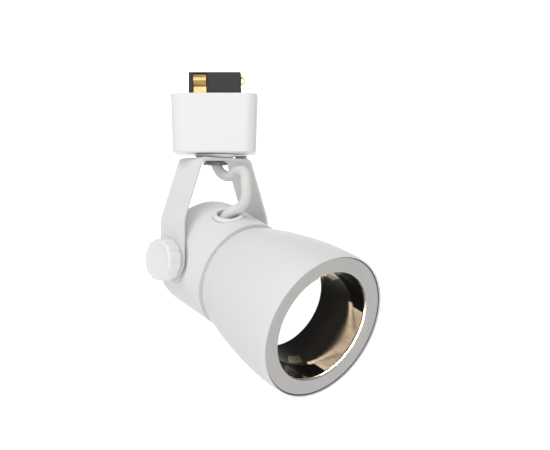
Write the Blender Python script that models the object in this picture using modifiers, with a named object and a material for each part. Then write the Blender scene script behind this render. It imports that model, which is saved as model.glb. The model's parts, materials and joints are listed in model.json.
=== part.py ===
"""Track spotlight: a lamp head held in a bent yoke that swivels under a box-shaped track adapter.

The origin is where the swivel axis meets the adapter's shoulder, the face that seats against the track.
+X runs along the track and +Z points up. Every dimension below is in millimetres, and MM turns it into
the metres of the scene.
"""
import math

import bmesh
import bpy

MM = 0.001
GAP = 0.3  # left between pieces that touch

# Adapter
ADAPTER_LENGTH = 40.8
ADAPTER_DEPTH = 33.4
ADAPTER_HEIGHT = 27.8
ADAPTER_TAPER = 0.9
ADAPTER_CORNER = 5.5
ADAPTER_WALL = 2.0
COVER_THICKNESS = 2.0
NECK_LENGTH = 24.8
NECK_WIDTH = 12.6
NECK_RISE = 11.0
NECK_DROP = 9.0
FLANGE_LENGTH = 26.8
FLANGE_WIDTH = 16.6
CONTACT_WIDTH = 6.0
CONTACT_THICKNESS = 0.8
CONTACT_X = 7.0
COVER_SCREW_X = 16.2
LATCH_WIDTH = 8.0
LATCH_TAB_TOP = -9.0
LATCH_TAB_FOOT = -11.2
LATCH_TRAVEL = 5.0

# Swivel
STEM_RADIUS = 4.25
STEM_BORE = 3.55
STEM_TOP = -20.0
COLLAR_RADIUS = 9.9
NUT_ACROSS_FLATS = 10.6
NUT_THICKNESS = 1.6
NUT_TURN = math.radians(21)
STOP_ANGLE = math.radians(100)
PAN_REST = math.radians(43)

# Yoke
YOKE_WIDTH = 17.2
YOKE_THICKNESS = 1.4
YOKE_TOP = -29.9
YOKE_SHOULDER = 15.3
YOKE_HALF_SPAN = 26.7
YOKE_KINK = -59.2
PIVOT_HEIGHT = -77.85
TILT_REST = math.radians(21.3)

# Head, measured forwards (s) from the pivot and outwards (r) from the head's axis
REAR_RADIUS = 26.3
REAR_WALL = 2.2
DOME_START = -6.0
DOME_LENGTH = 15.0
DOME_ROUND = 18.0
DOME_CROWN = 0.8
REAR_FRONT = 22.0
SPIGOT_RADIUS = 24.2
SPIGOT_FRONT = 30.0
PIVOT_FLAT = 24.1
PIVOT_POCKET = 11.4
PORT_S = 8.4
PORT_TURN = math.radians(14.8)
PORT_SEAT = 25.15
PORT_TOP = 27.2
BELL_BACK = 23.6
BELL_CURVE = ((23.6, 25.2), (37.5, 30.0), (62.0, 35.0), (79.3, 34.0))
BELL_WALL = 2.2
LIP_FRONT = 79.3
LIP_INNER = 33.25
LEDGE_S = 75.6
RING_INNER = 25.7
RING_OUTER = 32.9
RING_BACK = 77.0
RING_FRONT = 78.6
BAFFLE_BACK = 52.9
BAFFLE_BACK_RADIUS = 21.1
BAFFLE_WALL = 0.7
LAMP_FACE = 51.6
LAMP_RADIUS = 25.0
LAMP_NECK = 11.6
LAMP_BACK = 10.0
BASE_BACK = 0.0
PIN_SPACING = 10.0
SOCKET_FRONT = -0.6
SOCKET_BACK = -13.0
SOCKET_RADIUS = 11.5
SOCKET_SCREW_Y = 7.4
BRACKET_S = -13.3
BRACKET_THICKNESS = 1.2
BRACKET_HALF_LENGTH = 18.0
BRACKET_SCREW_X = 15.0
LUG_THICKNESS = 0.8

# Pivot, measured outwards from the head's axis
STUD_RADIUS = 2.4
STUD_END = 17.6
PIVOT_HOLE = 2.75
KNOB_RADIUS = 9.85
KNOB_LOBES = 12
KNOB_FACE = 35.2
KNOB_WASHER = 1.3
SCREW_WASHER = 0.6

# Supply lead
LEAD_RADIUS = 2.5
WIRE_RADIUS = 0.75
LEAD_ROUTE = (
    (0.2, 0.0, -30.6),
    (0.4, 0.0, -32.4),
    (1.5, -0.5, -35.0),
    (2.9, -1.7, -36.9),
    (4.8, -3.3, -38.2),
    (6.7, -5.3, -38.6),
    (8.4, -7.2, -38.1),
    (10.0, -9.2, -36.9),
    (11.8, -11.5, -36.3),
    (13.7, -14.6, -36.8),
    (15.0, -17.8, -39.0),
    (15.3, -20.5, -42.8),
    (15.5, -21.1, -47.4),
    (14.4, -20.2, -51.2),
    (12.2, -18.9, -53.7),
    (10.6, -18.2, -54.4),
    (8.5, -17.6, -56.0),
    (7.0, -16.9, -58.4),
    (6.6, -16.5, -60.8),
)

TURN_STEPS = 32
FINE_STEPS = 48


# ---------------------------------------------------------------- scene


def clear_scene():
    for thing in list(bpy.data.objects):
        bpy.data.objects.remove(thing)


def new_collection(name):
    made = bpy.data.collections.new(name)
    bpy.context.scene.collection.children.link(made)
    return made


clear_scene()
PARTS = new_collection("track_spotlight")
CUTTERS = new_collection("cutters")


def material(name, colour, roughness, metallic=0.0):
    made = bpy.data.materials.new(name)
    made.use_nodes = True
    shader = made.node_tree.nodes["Principled BSDF"]
    shader.inputs["Base Color"].default_value = (*colour, 1.0)
    shader.inputs["Roughness"].default_value = roughness
    shader.inputs["Metallic"].default_value = metallic
    return made


WHITE_PLASTIC = material("white_plastic", (0.84, 0.84, 0.83), 0.42)
WHITE_PAINT = material("white_paint", (0.78, 0.78, 0.78), 0.5)
WHITE_SLEEVE = material("white_sleeve", (0.74, 0.74, 0.72), 0.6)
BLACK_PLASTIC = material("black_plastic", (0.03, 0.03, 0.03), 0.45)
SATIN_NICKEL = material("satin_nickel", (0.5, 0.49, 0.47), 0.32, 1.0)
BLACK_CHROME = material("black_chrome", (0.05, 0.042, 0.035), 0.1, 1.0)
ZINC = material("zinc", (0.35, 0.35, 0.36), 0.35, 1.0)
SPRING_STEEL = material("spring_steel", (0.45, 0.45, 0.47), 0.3, 1.0)
BRASS = material("brass", (0.72, 0.5, 0.22), 0.3, 1.0)
CERAMIC = material("ceramic", (0.82, 0.8, 0.75), 0.5)
LIT_GLASS = material("lit_glass", (0.95, 0.94, 0.9), 0.15)
LAMP_GLASS = material("lamp_glass", (0.85, 0.85, 0.83), 0.1)
BLACK_WIRE = material("black_insulation", (0.04, 0.04, 0.04), 0.5)
GREEN_WIRE = material("green_insulation", (0.08, 0.32, 0.1), 0.5)


def empty(name, parent=None, location=(0, 0, 0), rotation=(0, 0, 0)):
    """A guide that carries pieces. Location is in millimetres."""
    made = bpy.data.objects.new(name, None)
    PARTS.objects.link(made)
    made.parent = parent
    made.location = [v * MM for v in location]
    made.rotation_euler = rotation
    return made


# The swivel turns the yoke so that its local -Y is the way the head looks, and -X is the knob's side.
# In the head's frame the axis is Z, with the mouth at -Z, so a place s in front of the pivot is at z = -s.
SWIVEL = empty("swivel_axis", rotation=(0, 0, PAN_REST))
HEAD = empty("tilt_axis", SWIVEL, (0, 0, PIVOT_HEIGHT), (TILT_REST - math.pi / 2, 0, 0))
KNOB_SIDE = empty("knob_side", HEAD, rotation=(0, -math.pi / 2, 0))
FAR_SIDE = empty("far_side", HEAD, rotation=(0, math.pi / 2, 0))
PORT = empty("lead_port", HEAD, (0, 0, -PORT_S), (math.pi / 2, 0, -PORT_TURN))


# ---------------------------------------------------------------- modelling tools


def add(name, data, look, parent):
    made = bpy.data.objects.new(name, data)
    made.parent = parent
    if look is None:
        CUTTERS.objects.link(made)
        made.hide_render = True
        made.display_type = "WIRE"
    else:
        PARTS.objects.link(made)
        data.materials.append(look)
    return made


def turned(name, outline, look=None, parent=None, steps=TURN_STEPS):
    """Turns an outline of (radius, height) points about Z. It is closed unless it ends on the axis."""
    area = sum(a[0] * b[1] - b[0] * a[1] for a, b in zip(outline, outline[1:] + outline[:1]))
    points = outline if area < 0 else outline[::-1]
    links = [(i, i + 1) for i in range(len(points) - 1)]
    if all(r > 0 for r, z in points):
        links.append((len(points) - 1, 0))
    mesh = bpy.data.meshes.new(name)
    mesh.from_pydata([(r * MM, 0, z * MM) for r, z in points], links, [])
    made = add(name, mesh, look, parent)
    screw = made.modifiers.new("Turn", "SCREW")
    screw.steps = steps
    screw.render_steps = steps
    screw.use_merge_vertices = True
    screw.merge_threshold = 0.00001
    screw.use_smooth_shade = True
    return made


def head_turned(name, outline, look=None, steps=TURN_STEPS):
    """Turns an outline of (radius, s) points about the head's axis."""
    return turned(name, [(r, -s) for r, s in outline], look, HEAD, steps)


def tube_outline(inner, outer, low, high, ease=0.0):
    """A ring's section, with its two outer corners cut off by ease."""
    if not ease:
        return [(inner, low), (outer, low), (outer, high), (inner, high)]
    return [
        (inner, low),
        (outer - ease, low),
        (outer, low + ease),
        (outer, high - ease),
        (outer - ease, high),
        (inner, high),
    ]


def pin_outline(radius, low, high, ease):
    """A solid pin's section, with its edges cut off by ease."""
    return [
        (0, high),
        (radius - ease, high),
        (radius, high - ease),
        (radius, low + ease),
        (radius - ease, low),
        (0, low),
    ]


def box(name, low, high, look=None, parent=None):
    mesh = bpy.data.meshes.new(name)
    shape = bmesh.new()
    bmesh.ops.create_cube(shape, size=1.0)
    bmesh.ops.scale(shape, vec=[(b - a) * MM for a, b in zip(low, high)], verts=shape.verts)
    bmesh.ops.translate(shape, vec=[(a + b) / 2 * MM for a, b in zip(low, high)], verts=shape.verts)
    shape.to_mesh(mesh)
    shape.free()
    return add(name, mesh, look, parent)


def cylinder(name, radius, low, high, centre=(0, 0), look=None, parent=None, sides=32):
    mesh = bpy.data.meshes.new(name)
    shape = bmesh.new()
    depth = (high - low) * MM
    bmesh.ops.create_cone(
        shape, cap_ends=True, segments=sides, radius1=radius * MM, radius2=radius * MM, depth=depth
    )
    middle = (centre[0] * MM, centre[1] * MM, (low + high) / 2 * MM)
    bmesh.ops.translate(shape, vec=middle, verts=shape.verts)
    shape.to_mesh(mesh)
    shape.free()
    return add(name, mesh, look, parent)


def prism(name, outline, low, high, look=None, parent=None, plane="XY"):
    """A flat outline given in one plane and extruded across it, from low to high."""
    curve = bpy.data.curves.new(name, "CURVE")
    curve.dimensions = "2D"
    curve.fill_mode = "BOTH"
    curve.extrude = (high - low) / 2 * MM
    spline = curve.splines.new("POLY")
    spline.points.add(len(outline) - 1)
    for point, (x, y) in zip(spline.points, outline):
        point.co = (x * MM, y * MM, 0, 1)
    spline.use_cyclic_u = True
    drawn = bpy.data.objects.new(name + "_outline", curve)
    bpy.context.scene.collection.objects.link(drawn)
    solid = drawn.evaluated_get(bpy.context.evaluated_depsgraph_get())
    mesh = bpy.data.meshes.new_from_object(solid)
    bpy.data.objects.remove(drawn)
    shape = bmesh.new()
    shape.from_mesh(mesh)
    bmesh.ops.remove_doubles(shape, verts=shape.verts, dist=0.000001)
    bmesh.ops.dissolve_limit(
        shape, angle_limit=0.001, verts=shape.verts, edges=shape.edges, delimit={"NORMAL"}
    )
    bmesh.ops.recalc_face_normals(shape, faces=shape.faces)
    middle = (low + high) / 2 * MM
    turns = {"XY": (0, 0, 0), "XZ": (math.pi / 2, 0, 0), "YZ": (math.pi / 2, 0, math.pi / 2)}
    shifts = {"XY": (0, 0, middle), "XZ": (0, middle, 0), "YZ": (middle, 0, 0)}
    shape.to_mesh(mesh)
    shape.free()
    mesh.materials.clear()
    made = add(name, mesh, look, parent)
    made.rotation_euler = turns[plane]
    made.location = shifts[plane]
    return made


def tube(name, points, radius, look, parent=None, sides_level=2):
    """A round tube along points in millimetres."""
    curve = bpy.data.curves.new(name, "CURVE")
    curve.dimensions = "3D"
    curve.bevel_depth = radius * MM
    curve.bevel_resolution = sides_level
    curve.use_fill_caps = True
    spline = curve.splines.new("POLY")
    spline.points.add(len(points) - 1)
    for point, place in zip(spline.points, points):
        point.co = (*[v * MM for v in place], 1)
    return add(name, curve, look, parent)


def smooth_route(points, pieces):
    """A smooth curve through the points, read at the given number of steps between each two."""
    ends = [points[0], *points, points[-1]]
    read = []
    for i in range(1, len(ends) - 2):
        a, b, c, d = ends[i - 1 : i + 3]
        for step in range(pieces):
            t = step / pieces
            read.append(
                tuple(
                    0.5
                    * (
                        2 * q
                        + (r - p) * t
                        + (2 * p - 5 * q + 4 * r - s) * t**2
                        + (3 * q - p - 3 * r + s) * t**3
                    )
                    for p, q, r, s in zip(a, b, c, d)
                )
            )
    return [*read, points[-1]]


def joined(piece, operation, *tools):
    """Cuts or unites a piece with tools that share its frame."""
    for tool in tools:
        step = piece.modifiers.new(tool.name, "BOOLEAN")
        step.operation = operation
        step.solver = "EXACT"
        step.object = tool
    return piece


def cut(piece, *tools):
    return joined(piece, "DIFFERENCE", *tools)


def unite(piece, *tools):
    return joined(piece, "UNION", *tools)


def soften(piece, width, segments=2, angle=40):
    bevel = piece.modifiers.new("Edges", "BEVEL")
    bevel.width = width * MM
    bevel.segments = segments
    bevel.limit_method = "ANGLE"
    bevel.angle_limit = math.radians(angle)
    return piece


def arc(centre, radius, start, end, steps):
    """Points of an arc, with its angles in degrees."""
    turns = [math.radians(start + (end - start) * i / steps) for i in range(steps + 1)]
    return [(centre[0] + radius * math.cos(t), centre[1] + radius * math.sin(t)) for t in turns]


def rounded_path(corners, radii, steps=6):
    """The corners joined by straight runs, with each inner corner rounded to its radius."""
    path = [corners[0]]
    for before, here, after, radius in zip(corners, corners[1:], corners[2:], radii):
        arriving = math.atan2(here[1] - before[1], here[0] - before[0])
        leaving = math.atan2(after[1] - here[1], after[0] - here[0])
        turn = (leaving - arriving + math.pi) % (2 * math.pi) - math.pi
        side = math.copysign(1, turn)
        reach = radius * math.tan(abs(turn) / 2)
        start = (here[0] - reach * math.cos(arriving), here[1] - reach * math.sin(arriving))
        centre = (
            start[0] - side * radius * math.sin(arriving),
            start[1] + side * radius * math.cos(arriving),
        )
        first = math.degrees(arriving) - side * 90
        path += arc(centre, radius, first, first + math.degrees(turn), steps)
    return [*path, corners[-1]]


def strip_outline(path, thickness):
    """The outline of a strip of even thickness, which lies on the right of a path."""
    offset = []
    for i, here in enumerate(path):
        back = max(i - 1, 0)
        ahead = min(i + 1, len(path) - 1)
        before = path[back]
        turn_end = path[back + 1]
        turn_start = path[ahead - 1]
        after = path[ahead]
        first = (turn_end[0] - before[0], turn_end[1] - before[1])
        last = (after[0] - turn_start[0], after[1] - turn_start[1])
        a = math.atan2(first[1], first[0])
        b = a + (math.atan2(last[1], last[0]) - a + math.pi) % (2 * math.pi) - math.pi
        across = (a + b) / 2 - math.pi / 2
        reach = thickness / math.cos((b - a) / 2)
        offset.append((here[0] + reach * math.cos(across), here[1] + reach * math.sin(across)))
    return path + offset[::-1]


def rounded_rectangle(half_x, half_y, corner, steps=6):
    outline = []
    for quarter, (sx, sy) in enumerate(((1, 1), (-1, 1), (-1, -1), (1, -1))):
        centre = (sx * (half_x - corner), sy * (half_y - corner))
        outline += arc(centre, corner, 90 * quarter, 90 * quarter + 90, steps)
    return outline


def hexagon(across_flats, turn=0.0):
    radius = across_flats / math.sqrt(3)
    return [
        (radius * math.cos(turn + i * math.pi / 3), radius * math.sin(turn + i * math.pi / 3))
        for i in range(6)
    ]


# ---------------------------------------------------------------- adapter


def tapered_box(name, half_x, half_y, low, high, corner, look=None):
    """A box with round vertical corners whose sides lean in towards its bottom."""
    lean = ADAPTER_TAPER / ADAPTER_HEIGHT
    made = box(name, (-half_x, -half_y, low), (half_x, half_y, high), look)
    shape = bmesh.new()
    shape.from_mesh(made.data)
    for vert in shape.verts:
        drop = -vert.co.z * lean
        vert.co.x -= math.copysign(drop, vert.co.x)
        vert.co.y -= math.copysign(drop, vert.co.y)
    uprights = [e for e in shape.edges if abs(e.verts[0].co.z - e.verts[1].co.z) > MM]
    bmesh.ops.bevel(
        shape, geom=uprights, offset=corner * MM, offset_type="OFFSET", segments=7, profile=0.5,
        affect="EDGES",
    )
    shape.to_mesh(made.data)
    shape.free()
    return made


def make_adapter_housing():
    half_x = ADAPTER_LENGTH / 2
    half_y = ADAPTER_DEPTH / 2
    floor = -ADAPTER_HEIGHT + ADAPTER_WALL
    wall = ADAPTER_WALL
    corner = ADAPTER_CORNER
    housing = tapered_box("adapter_housing", half_x, half_y, -ADAPTER_HEIGHT, 0, corner, WHITE_PLASTIC)
    soften(housing, 0.7)
    cavity = tapered_box("adapter_cavity", half_x - wall, half_y - wall, floor, 2, corner - wall)
    posts = [
        cylinder(f"cover_post_{i}", 2.4, floor - 0.5, -COVER_THICKNESS - GAP, (x, 0), sides=16)
        for i, x in enumerate((-COVER_SCREW_X, COVER_SCREW_X))
    ]
    holes = [
        cylinder(f"cover_post_hole_{i}", 1.36, floor + 6, 1, (x, 0), sides=12)
        for i, x in enumerate((-COVER_SCREW_X, COVER_SCREW_X))
    ]
    stem_hole = cylinder("stem_hole", STEM_RADIUS + 0.35, floor - 5, floor + 5)
    half_window = LATCH_WIDTH / 2 + 0.4
    window_low = LATCH_TAB_FOOT - LATCH_TRAVEL - 0.4
    window_high = LATCH_TAB_TOP + 0.6
    window_near = (-half_window, half_y - 4, window_low)
    window = box("latch_window", window_near, (half_window, half_y + 4, window_high))
    stop = box("swivel_stop", (12.0, -1.2, -29.4), (15.6, 1.2, floor - 0.5))
    stop.rotation_euler = (0, 0, STOP_ANGLE)
    cut(housing, cavity)
    unite(housing, *posts, stop)
    cut(housing, *holes, stem_hole, window)


def make_adapter_cover():
    half_x = ADAPTER_LENGTH / 2 - ADAPTER_WALL - GAP
    half_y = ADAPTER_DEPTH / 2 - ADAPTER_WALL - GAP
    outline = rounded_rectangle(half_x - 0.15, half_y - 0.15, ADAPTER_CORNER - ADAPTER_WALL)
    cover = prism("adapter_cover", outline, -COVER_THICKNESS, 0, WHITE_PLASTIC)
    half_neck_x = NECK_LENGTH / 2 + GAP
    half_neck_y = NECK_WIDTH / 2 + GAP
    neck_hole = box("neck_hole", (-half_neck_x, -half_neck_y, -5), (half_neck_x, half_neck_y, 5))
    half_slot = LATCH_WIDTH / 2 + 0.4
    tongue_hole = box("tongue_hole", (-half_slot, 8.9, -5), (half_slot, 11.4, 5))
    tools = [neck_hole, tongue_hole]
    for i, x in enumerate((-COVER_SCREW_X, COVER_SCREW_X)):
        tools.append(cylinder(f"cover_screw_hole_{i}", 1.6, -5, 5, (x, 0), sides=16))
        tools.append(cylinder(f"cover_screw_sink_{i}", 2.0, -1.3, 5, (x, 0), sides=16))
    cut(cover, *tools)


def make_cover_screws():
    for name, x in (("cover_screw_left", -COVER_SCREW_X), ("cover_screw_right", COVER_SCREW_X)):
        outline = [(0, -0.1), (1.7, -0.1), (1.7, -1.0), (1.0, -1.0), (1.0, -9.0), (0, -9.5)]
        screw = turned(name, outline, ZINC, steps=16)
        screw.location = (x * MM, 0, 0)
        slot = box(name + "_slot", (x - 3, -0.25, -0.5), (x + 3, 0.25, 1))
        cut(screw, slot)


def contact_paths():
    """The outer faces of a side contact and of the end contact, from the tail up to the tip."""
    face = NECK_WIDTH / 2 - 0.3
    side = rounded_path(
        [(face, -11.0), (face, 4.0), (face + 3.0, 6.6), (face + 3.0, 8.2), (face, 10.2)], [0.9, 0.9, 0.9], 3
    )
    end = NECK_LENGTH / 2 - 0.3
    tip = rounded_path(
        [(end, -11.0), (end, 4.0), (end + 2.4, 6.6), (end + 2.4, 8.2), (end, 10.2)], [0.9, 0.9, 0.9], 3
    )
    return side, tip


def make_contacts():
    side, tip = contact_paths()
    half = CONTACT_WIDTH / 2
    line = [(-y, z) for y, z in side]
    rows = (
        ("contact_live", line, -CONTACT_X, "YZ"),
        ("contact_neutral", side[::-1], CONTACT_X, "YZ"),
        ("contact_ground", tip[::-1], 0, "XZ"),
    )
    for name, path, middle, plane in rows:
        outline = strip_outline(path, CONTACT_THICKNESS)
        prism(name, outline, middle - half, middle + half, BRASS, plane=plane)


def make_contact_block():
    half_x = NECK_LENGTH / 2
    half_y = NECK_WIDTH / 2
    block = box("contact_block", (-half_x, -half_y, -NECK_DROP), (half_x, half_y, NECK_RISE), BLACK_PLASTIC)
    soften(block, 0.5)
    top = -COVER_THICKNESS - GAP
    wide = FLANGE_LENGTH / 2
    deep = FLANGE_WIDTH / 2
    flange = box("block_flange", (-wide, -deep, top - 2.6), (wide, deep, top))
    half_slot = CONTACT_WIDTH / 2 + GAP
    depth = 0.3 + CONTACT_THICKNESS + GAP
    low = -NECK_DROP - 2
    high = 10.5
    slots = [
        box("live_slot", (-CONTACT_X - half_slot, -9, low), (half_slot - CONTACT_X, depth - half_y, high)),
        box("neutral_slot", (CONTACT_X - half_slot, half_y - depth, low), (CONTACT_X + half_slot, 9, high)),
        box("ground_slot", (half_x - depth, -half_slot, low), (15, half_slot, high)),
    ]
    unite(block, flange)
    cut(block, *slots)


def make_release_latch():
    """A tongue beside the neck, carried on an inner bar and pulled down by a tab outside the back wall."""
    outline = [
        (9.3, -17.5),
        (9.3, 3.4),
        (9.9, 4.0),
        (11.0, 4.0),
        (11.0, LATCH_TAB_TOP),
        (17.2, LATCH_TAB_TOP),
        (17.2, -7.0),
        (18.2, -6.6),
        (19.4, -8.0),
        (19.4, -17.4),
        (18.8, -18.0),
        (17.2, -18.0),
        (17.2, LATCH_TAB_FOOT),
        (13.2, LATCH_TAB_FOOT),
        (13.2, -17.5),
    ]
    half = LATCH_WIDTH / 2
    prism("release_latch", outline, -half, half, WHITE_PLASTIC, plane="YZ")


def make_latch_spring():
    turns = 4
    per_turn = 8
    low = -ADAPTER_HEIGHT + ADAPTER_WALL + GAP + 0.3
    high = -17.5 - GAP - 0.3
    points = []
    for i in range(turns * per_turn + 1):
        angle = 2 * math.pi * i / per_turn
        height = low + (high - low) * i / (turns * per_turn)
        points.append((1.7 * math.cos(angle), 11.3 + 1.7 * math.sin(angle), height))
    tube("latch_spring", points, 0.25, SPRING_STEEL, sides_level=1)


def make_adapter_wires():
    """Three conductors drop from the contacts' tails and run side by side down the hollow stem."""
    tails = (
        ("adapter_lead_live", (-CONTACT_X, -NECK_WIDTH / 2 + 0.7), BLACK_WIRE),
        ("adapter_lead_neutral", (CONTACT_X, NECK_WIDTH / 2 - 0.7), WHITE_SLEEVE),
        ("adapter_lead_ground", (NECK_LENGTH / 2 - 0.7, 0), GREEN_WIRE),
    )
    bunch = 1.7
    angles = (216, 36, 300)
    for (name, (x, y), look), angle in zip(tails, angles):
        inner_x = bunch * math.cos(math.radians(angle))
        inner_y = bunch * math.sin(math.radians(angle))
        points = []
        for i in range(9):
            t = i / 8
            blend = t * t * (3 - 2 * t)
            points.append((x + (inner_x - x) * blend, y + (inner_y - y) * blend, -11.7 - 7.7 * t))
        points.append((inner_x, inner_y, -30.0))
        tube(name, points, WIRE_RADIUS, look, sides_level=1)


# ---------------------------------------------------------------- swivel and yoke


def make_swivel():
    adapter_floor = -ADAPTER_HEIGHT + ADAPTER_WALL
    nut_low = YOKE_TOP - YOKE_THICKNESS - GAP - NUT_THICKNESS
    turned("swivel_stem", tube_outline(STEM_BORE, STEM_RADIUS, nut_low, STEM_TOP, 0.25), ZINC, SWIVEL)
    washer_low = adapter_floor + GAP
    washer = tube_outline(STEM_RADIUS + GAP, 7.0, washer_low, washer_low + 0.6)
    turned("stem_washer", washer, SPRING_STEEL, SWIVEL)
    lock_low = washer_low + 0.6 + GAP
    locknut = prism("stem_locknut", hexagon(11.4), lock_low, lock_low + 2.4, ZINC, SWIVEL)
    cut(locknut, cylinder("locknut_bore", STEM_RADIUS + GAP, -40, 0, parent=SWIVEL))
    collar_high = -ADAPTER_HEIGHT - GAP
    collar_low = YOKE_TOP + GAP
    outline = [
        (STEM_RADIUS + GAP, collar_high),
        (COLLAR_RADIUS - 0.2, collar_high),
        (COLLAR_RADIUS, collar_high - 0.2),
        (COLLAR_RADIUS - 0.1, collar_high - 0.6),
        (COLLAR_RADIUS - 1.5, collar_low),
        (STEM_RADIUS + GAP, collar_low),
    ]
    turned("swivel_collar", outline, WHITE_PLASTIC, SWIVEL)
    flats = hexagon(NUT_ACROSS_FLATS, NUT_TURN - PAN_REST)
    nut = prism("yoke_nut", flats, nut_low, nut_low + NUT_THICKNESS, ZINC, SWIVEL)
    cut(nut, cylinder("nut_bore", STEM_RADIUS + GAP, -40, 0, parent=SWIVEL))


def make_yoke():
    """A strip bent twice on each side, then trimmed to width and to its round leg ends."""
    foot = PIVOT_HEIGHT - YOKE_WIDTH
    span = YOKE_HALF_SPAN
    corners = [(0, YOKE_TOP), (YOKE_SHOULDER, YOKE_TOP), (span, YOKE_KINK), (span, foot)]
    right = rounded_path(corners, [3.2, 14.0], 5)
    path = [(-x, z) for x, z in right[:0:-1]] + right[1:]
    half = YOKE_WIDTH / 2
    outline = strip_outline(path, YOKE_THICKNESS)
    yoke = prism("yoke_bracket", outline, -half - 2, half + 2, WHITE_PAINT, SWIVEL, plane="XZ")
    leg_shape = [(half, YOKE_TOP + 2), *arc((0, PIVOT_HEIGHT), half, 0, -180, 20), (-half, YOKE_TOP + 2)]
    reach = YOKE_HALF_SPAN + 3
    blank = prism("yoke_blank", leg_shape, -reach, reach, parent=SWIVEL, plane="YZ")
    joined(yoke, "INTERSECT", blank)
    tab_low = YOKE_TOP - YOKE_THICKNESS / 2
    tab = box("stop_tab", (12.9, -7.5, tab_low), (14.1, 0.5, -28.2), parent=SWIVEL)
    unite(yoke, tab)
    stem_hole = cylinder("yoke_stem_hole", STEM_RADIUS + GAP, -40, -20, parent=SWIVEL)
    pivot_hole = cylinder("yoke_pivot_hole", PIVOT_HOLE, -reach, reach, sides=24, parent=KNOB_SIDE)
    cut(yoke, stem_hole, pivot_hole)
    soften(yoke, 0.2, 1)


# ---------------------------------------------------------------- head


def dome(offset, steps):
    """The rounded back from the axis out to the side wall, as (r, s), moved inwards by offset."""
    flat = REAR_RADIUS - DOME_ROUND
    back = DOME_START - DOME_LENGTH + offset
    crown = [(flat * i / 3, back - DOME_CROWN * (1 - (i / 3) ** 2)) for i in range(3)]
    side = []
    for i in range(steps + 1):
        angle = math.pi / 2 * (1 - i / steps)
        r = flat + (DOME_ROUND - offset) * math.cos(angle)
        side.append((r, DOME_START - (DOME_LENGTH - offset) * math.sin(angle)))
    return crown + side


def pivot_pocket(name, side):
    """The flat seat for a yoke leg: round in front, and open towards the back."""
    front = arc((0, 0), PIVOT_POCKET, 180, 360, 24)
    outline = [(-PIVOT_POCKET, 30), *front, (PIVOT_POCKET, 30)]
    low, high = sorted((side * PIVOT_FLAT, side * (PIVOT_FLAT + 8)))
    return prism(name, outline, low, high, parent=HEAD, plane="YZ")


def make_rear_housing():
    inner = dome(REAR_WALL, 6)
    outline = [
        *dome(0, 10),
        (REAR_RADIUS, REAR_FRONT - 0.35),
        (REAR_RADIUS - 0.35, REAR_FRONT),
        (SPIGOT_RADIUS, REAR_FRONT),
        (SPIGOT_RADIUS, SPIGOT_FRONT),
        (SPIGOT_RADIUS - 1.8, SPIGOT_FRONT),
        (SPIGOT_RADIUS - 1.8, REAR_FRONT - 2.5),
        (REAR_RADIUS - REAR_WALL, REAR_FRONT - 5),
        *inner[::-1],
    ]
    housing = head_turned("rear_housing", outline, WHITE_PAINT, FINE_STEPS)
    post_foot = -BRACKET_S + BRACKET_THICKNESS + GAP
    pads = [
        box("pivot_pad_0", (-PIVOT_FLAT - 0.1, -10, -12), (-PIVOT_FLAT + REAR_WALL, 10, 13), parent=HEAD),
        box("pivot_pad_1", (PIVOT_FLAT - REAR_WALL, -10, -12), (PIVOT_FLAT + 0.1, 10, 13), parent=HEAD),
    ]
    bosses = [
        cylinder(f"pivot_boss_{i}", 5.6, 17, 24, sides=24, parent=side)
        for i, side in enumerate((KNOB_SIDE, FAR_SIDE))
    ]
    posts = [
        cylinder(f"bracket_post_{i}", 2.6, post_foot, 21.2, (x, 0), sides=16, parent=HEAD)
        for i, x in enumerate((-BRACKET_SCREW_X, BRACKET_SCREW_X))
    ]
    beyond = [*dome(0.5, 8), (REAR_RADIUS - 0.3, 30), (45, 30), (45, -45), (0, -45)]
    outside = head_turned("outside", beyond, steps=FINE_STEPS)
    for piece in (*pads, *posts):
        cut(piece, outside)
    pockets = [pivot_pocket(f"pivot_pocket_{i}", side) for i, side in enumerate((-1, 1))]
    stud_holes = [
        cylinder(f"stud_hole_{i}", STUD_RADIUS + GAP, 10, 40, sides=24, parent=side)
        for i, side in enumerate((KNOB_SIDE, FAR_SIDE))
    ]
    post_holes = [
        cylinder(f"post_hole_{i}", 1.36, 10, 18.5, (x, 0), sides=12, parent=HEAD)
        for i, x in enumerate((-BRACKET_SCREW_X, BRACKET_SCREW_X))
    ]
    port_seat = cylinder("port_seat", 7.75, PORT_SEAT, 32, sides=40, parent=PORT)
    port_hole = cylinder("port_hole", 6.6, 18, 30, sides=40, parent=PORT)
    unite(housing, *pads, *bosses, *posts)
    cut(housing, *pockets, *stud_holes, *post_holes, port_seat, port_hole)


def make_grommet():
    low = PORT_SEAT + GAP
    outline = [
        (5.1, 22.6),
        (6.2, 22.6),
        (6.3, low),
        (7.4, low),
        *arc((6.6, PORT_TOP - 0.8), 0.8, 0, 90, 3),
        *arc((5.7, PORT_TOP - 0.6), 0.6, 90, 180, 2),
    ]
    turned("cable_grommet", outline, WHITE_PLASTIC, PORT, 32)


def bell_point(t):
    blend = [(1 - t) ** 3, 3 * t * (1 - t) ** 2, 3 * t**2 * (1 - t), t**3]
    s = sum(w * point[0] for w, point in zip(blend, BELL_CURVE))
    r = sum(w * point[1] for w, point in zip(blend, BELL_CURVE))
    return r, s


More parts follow.
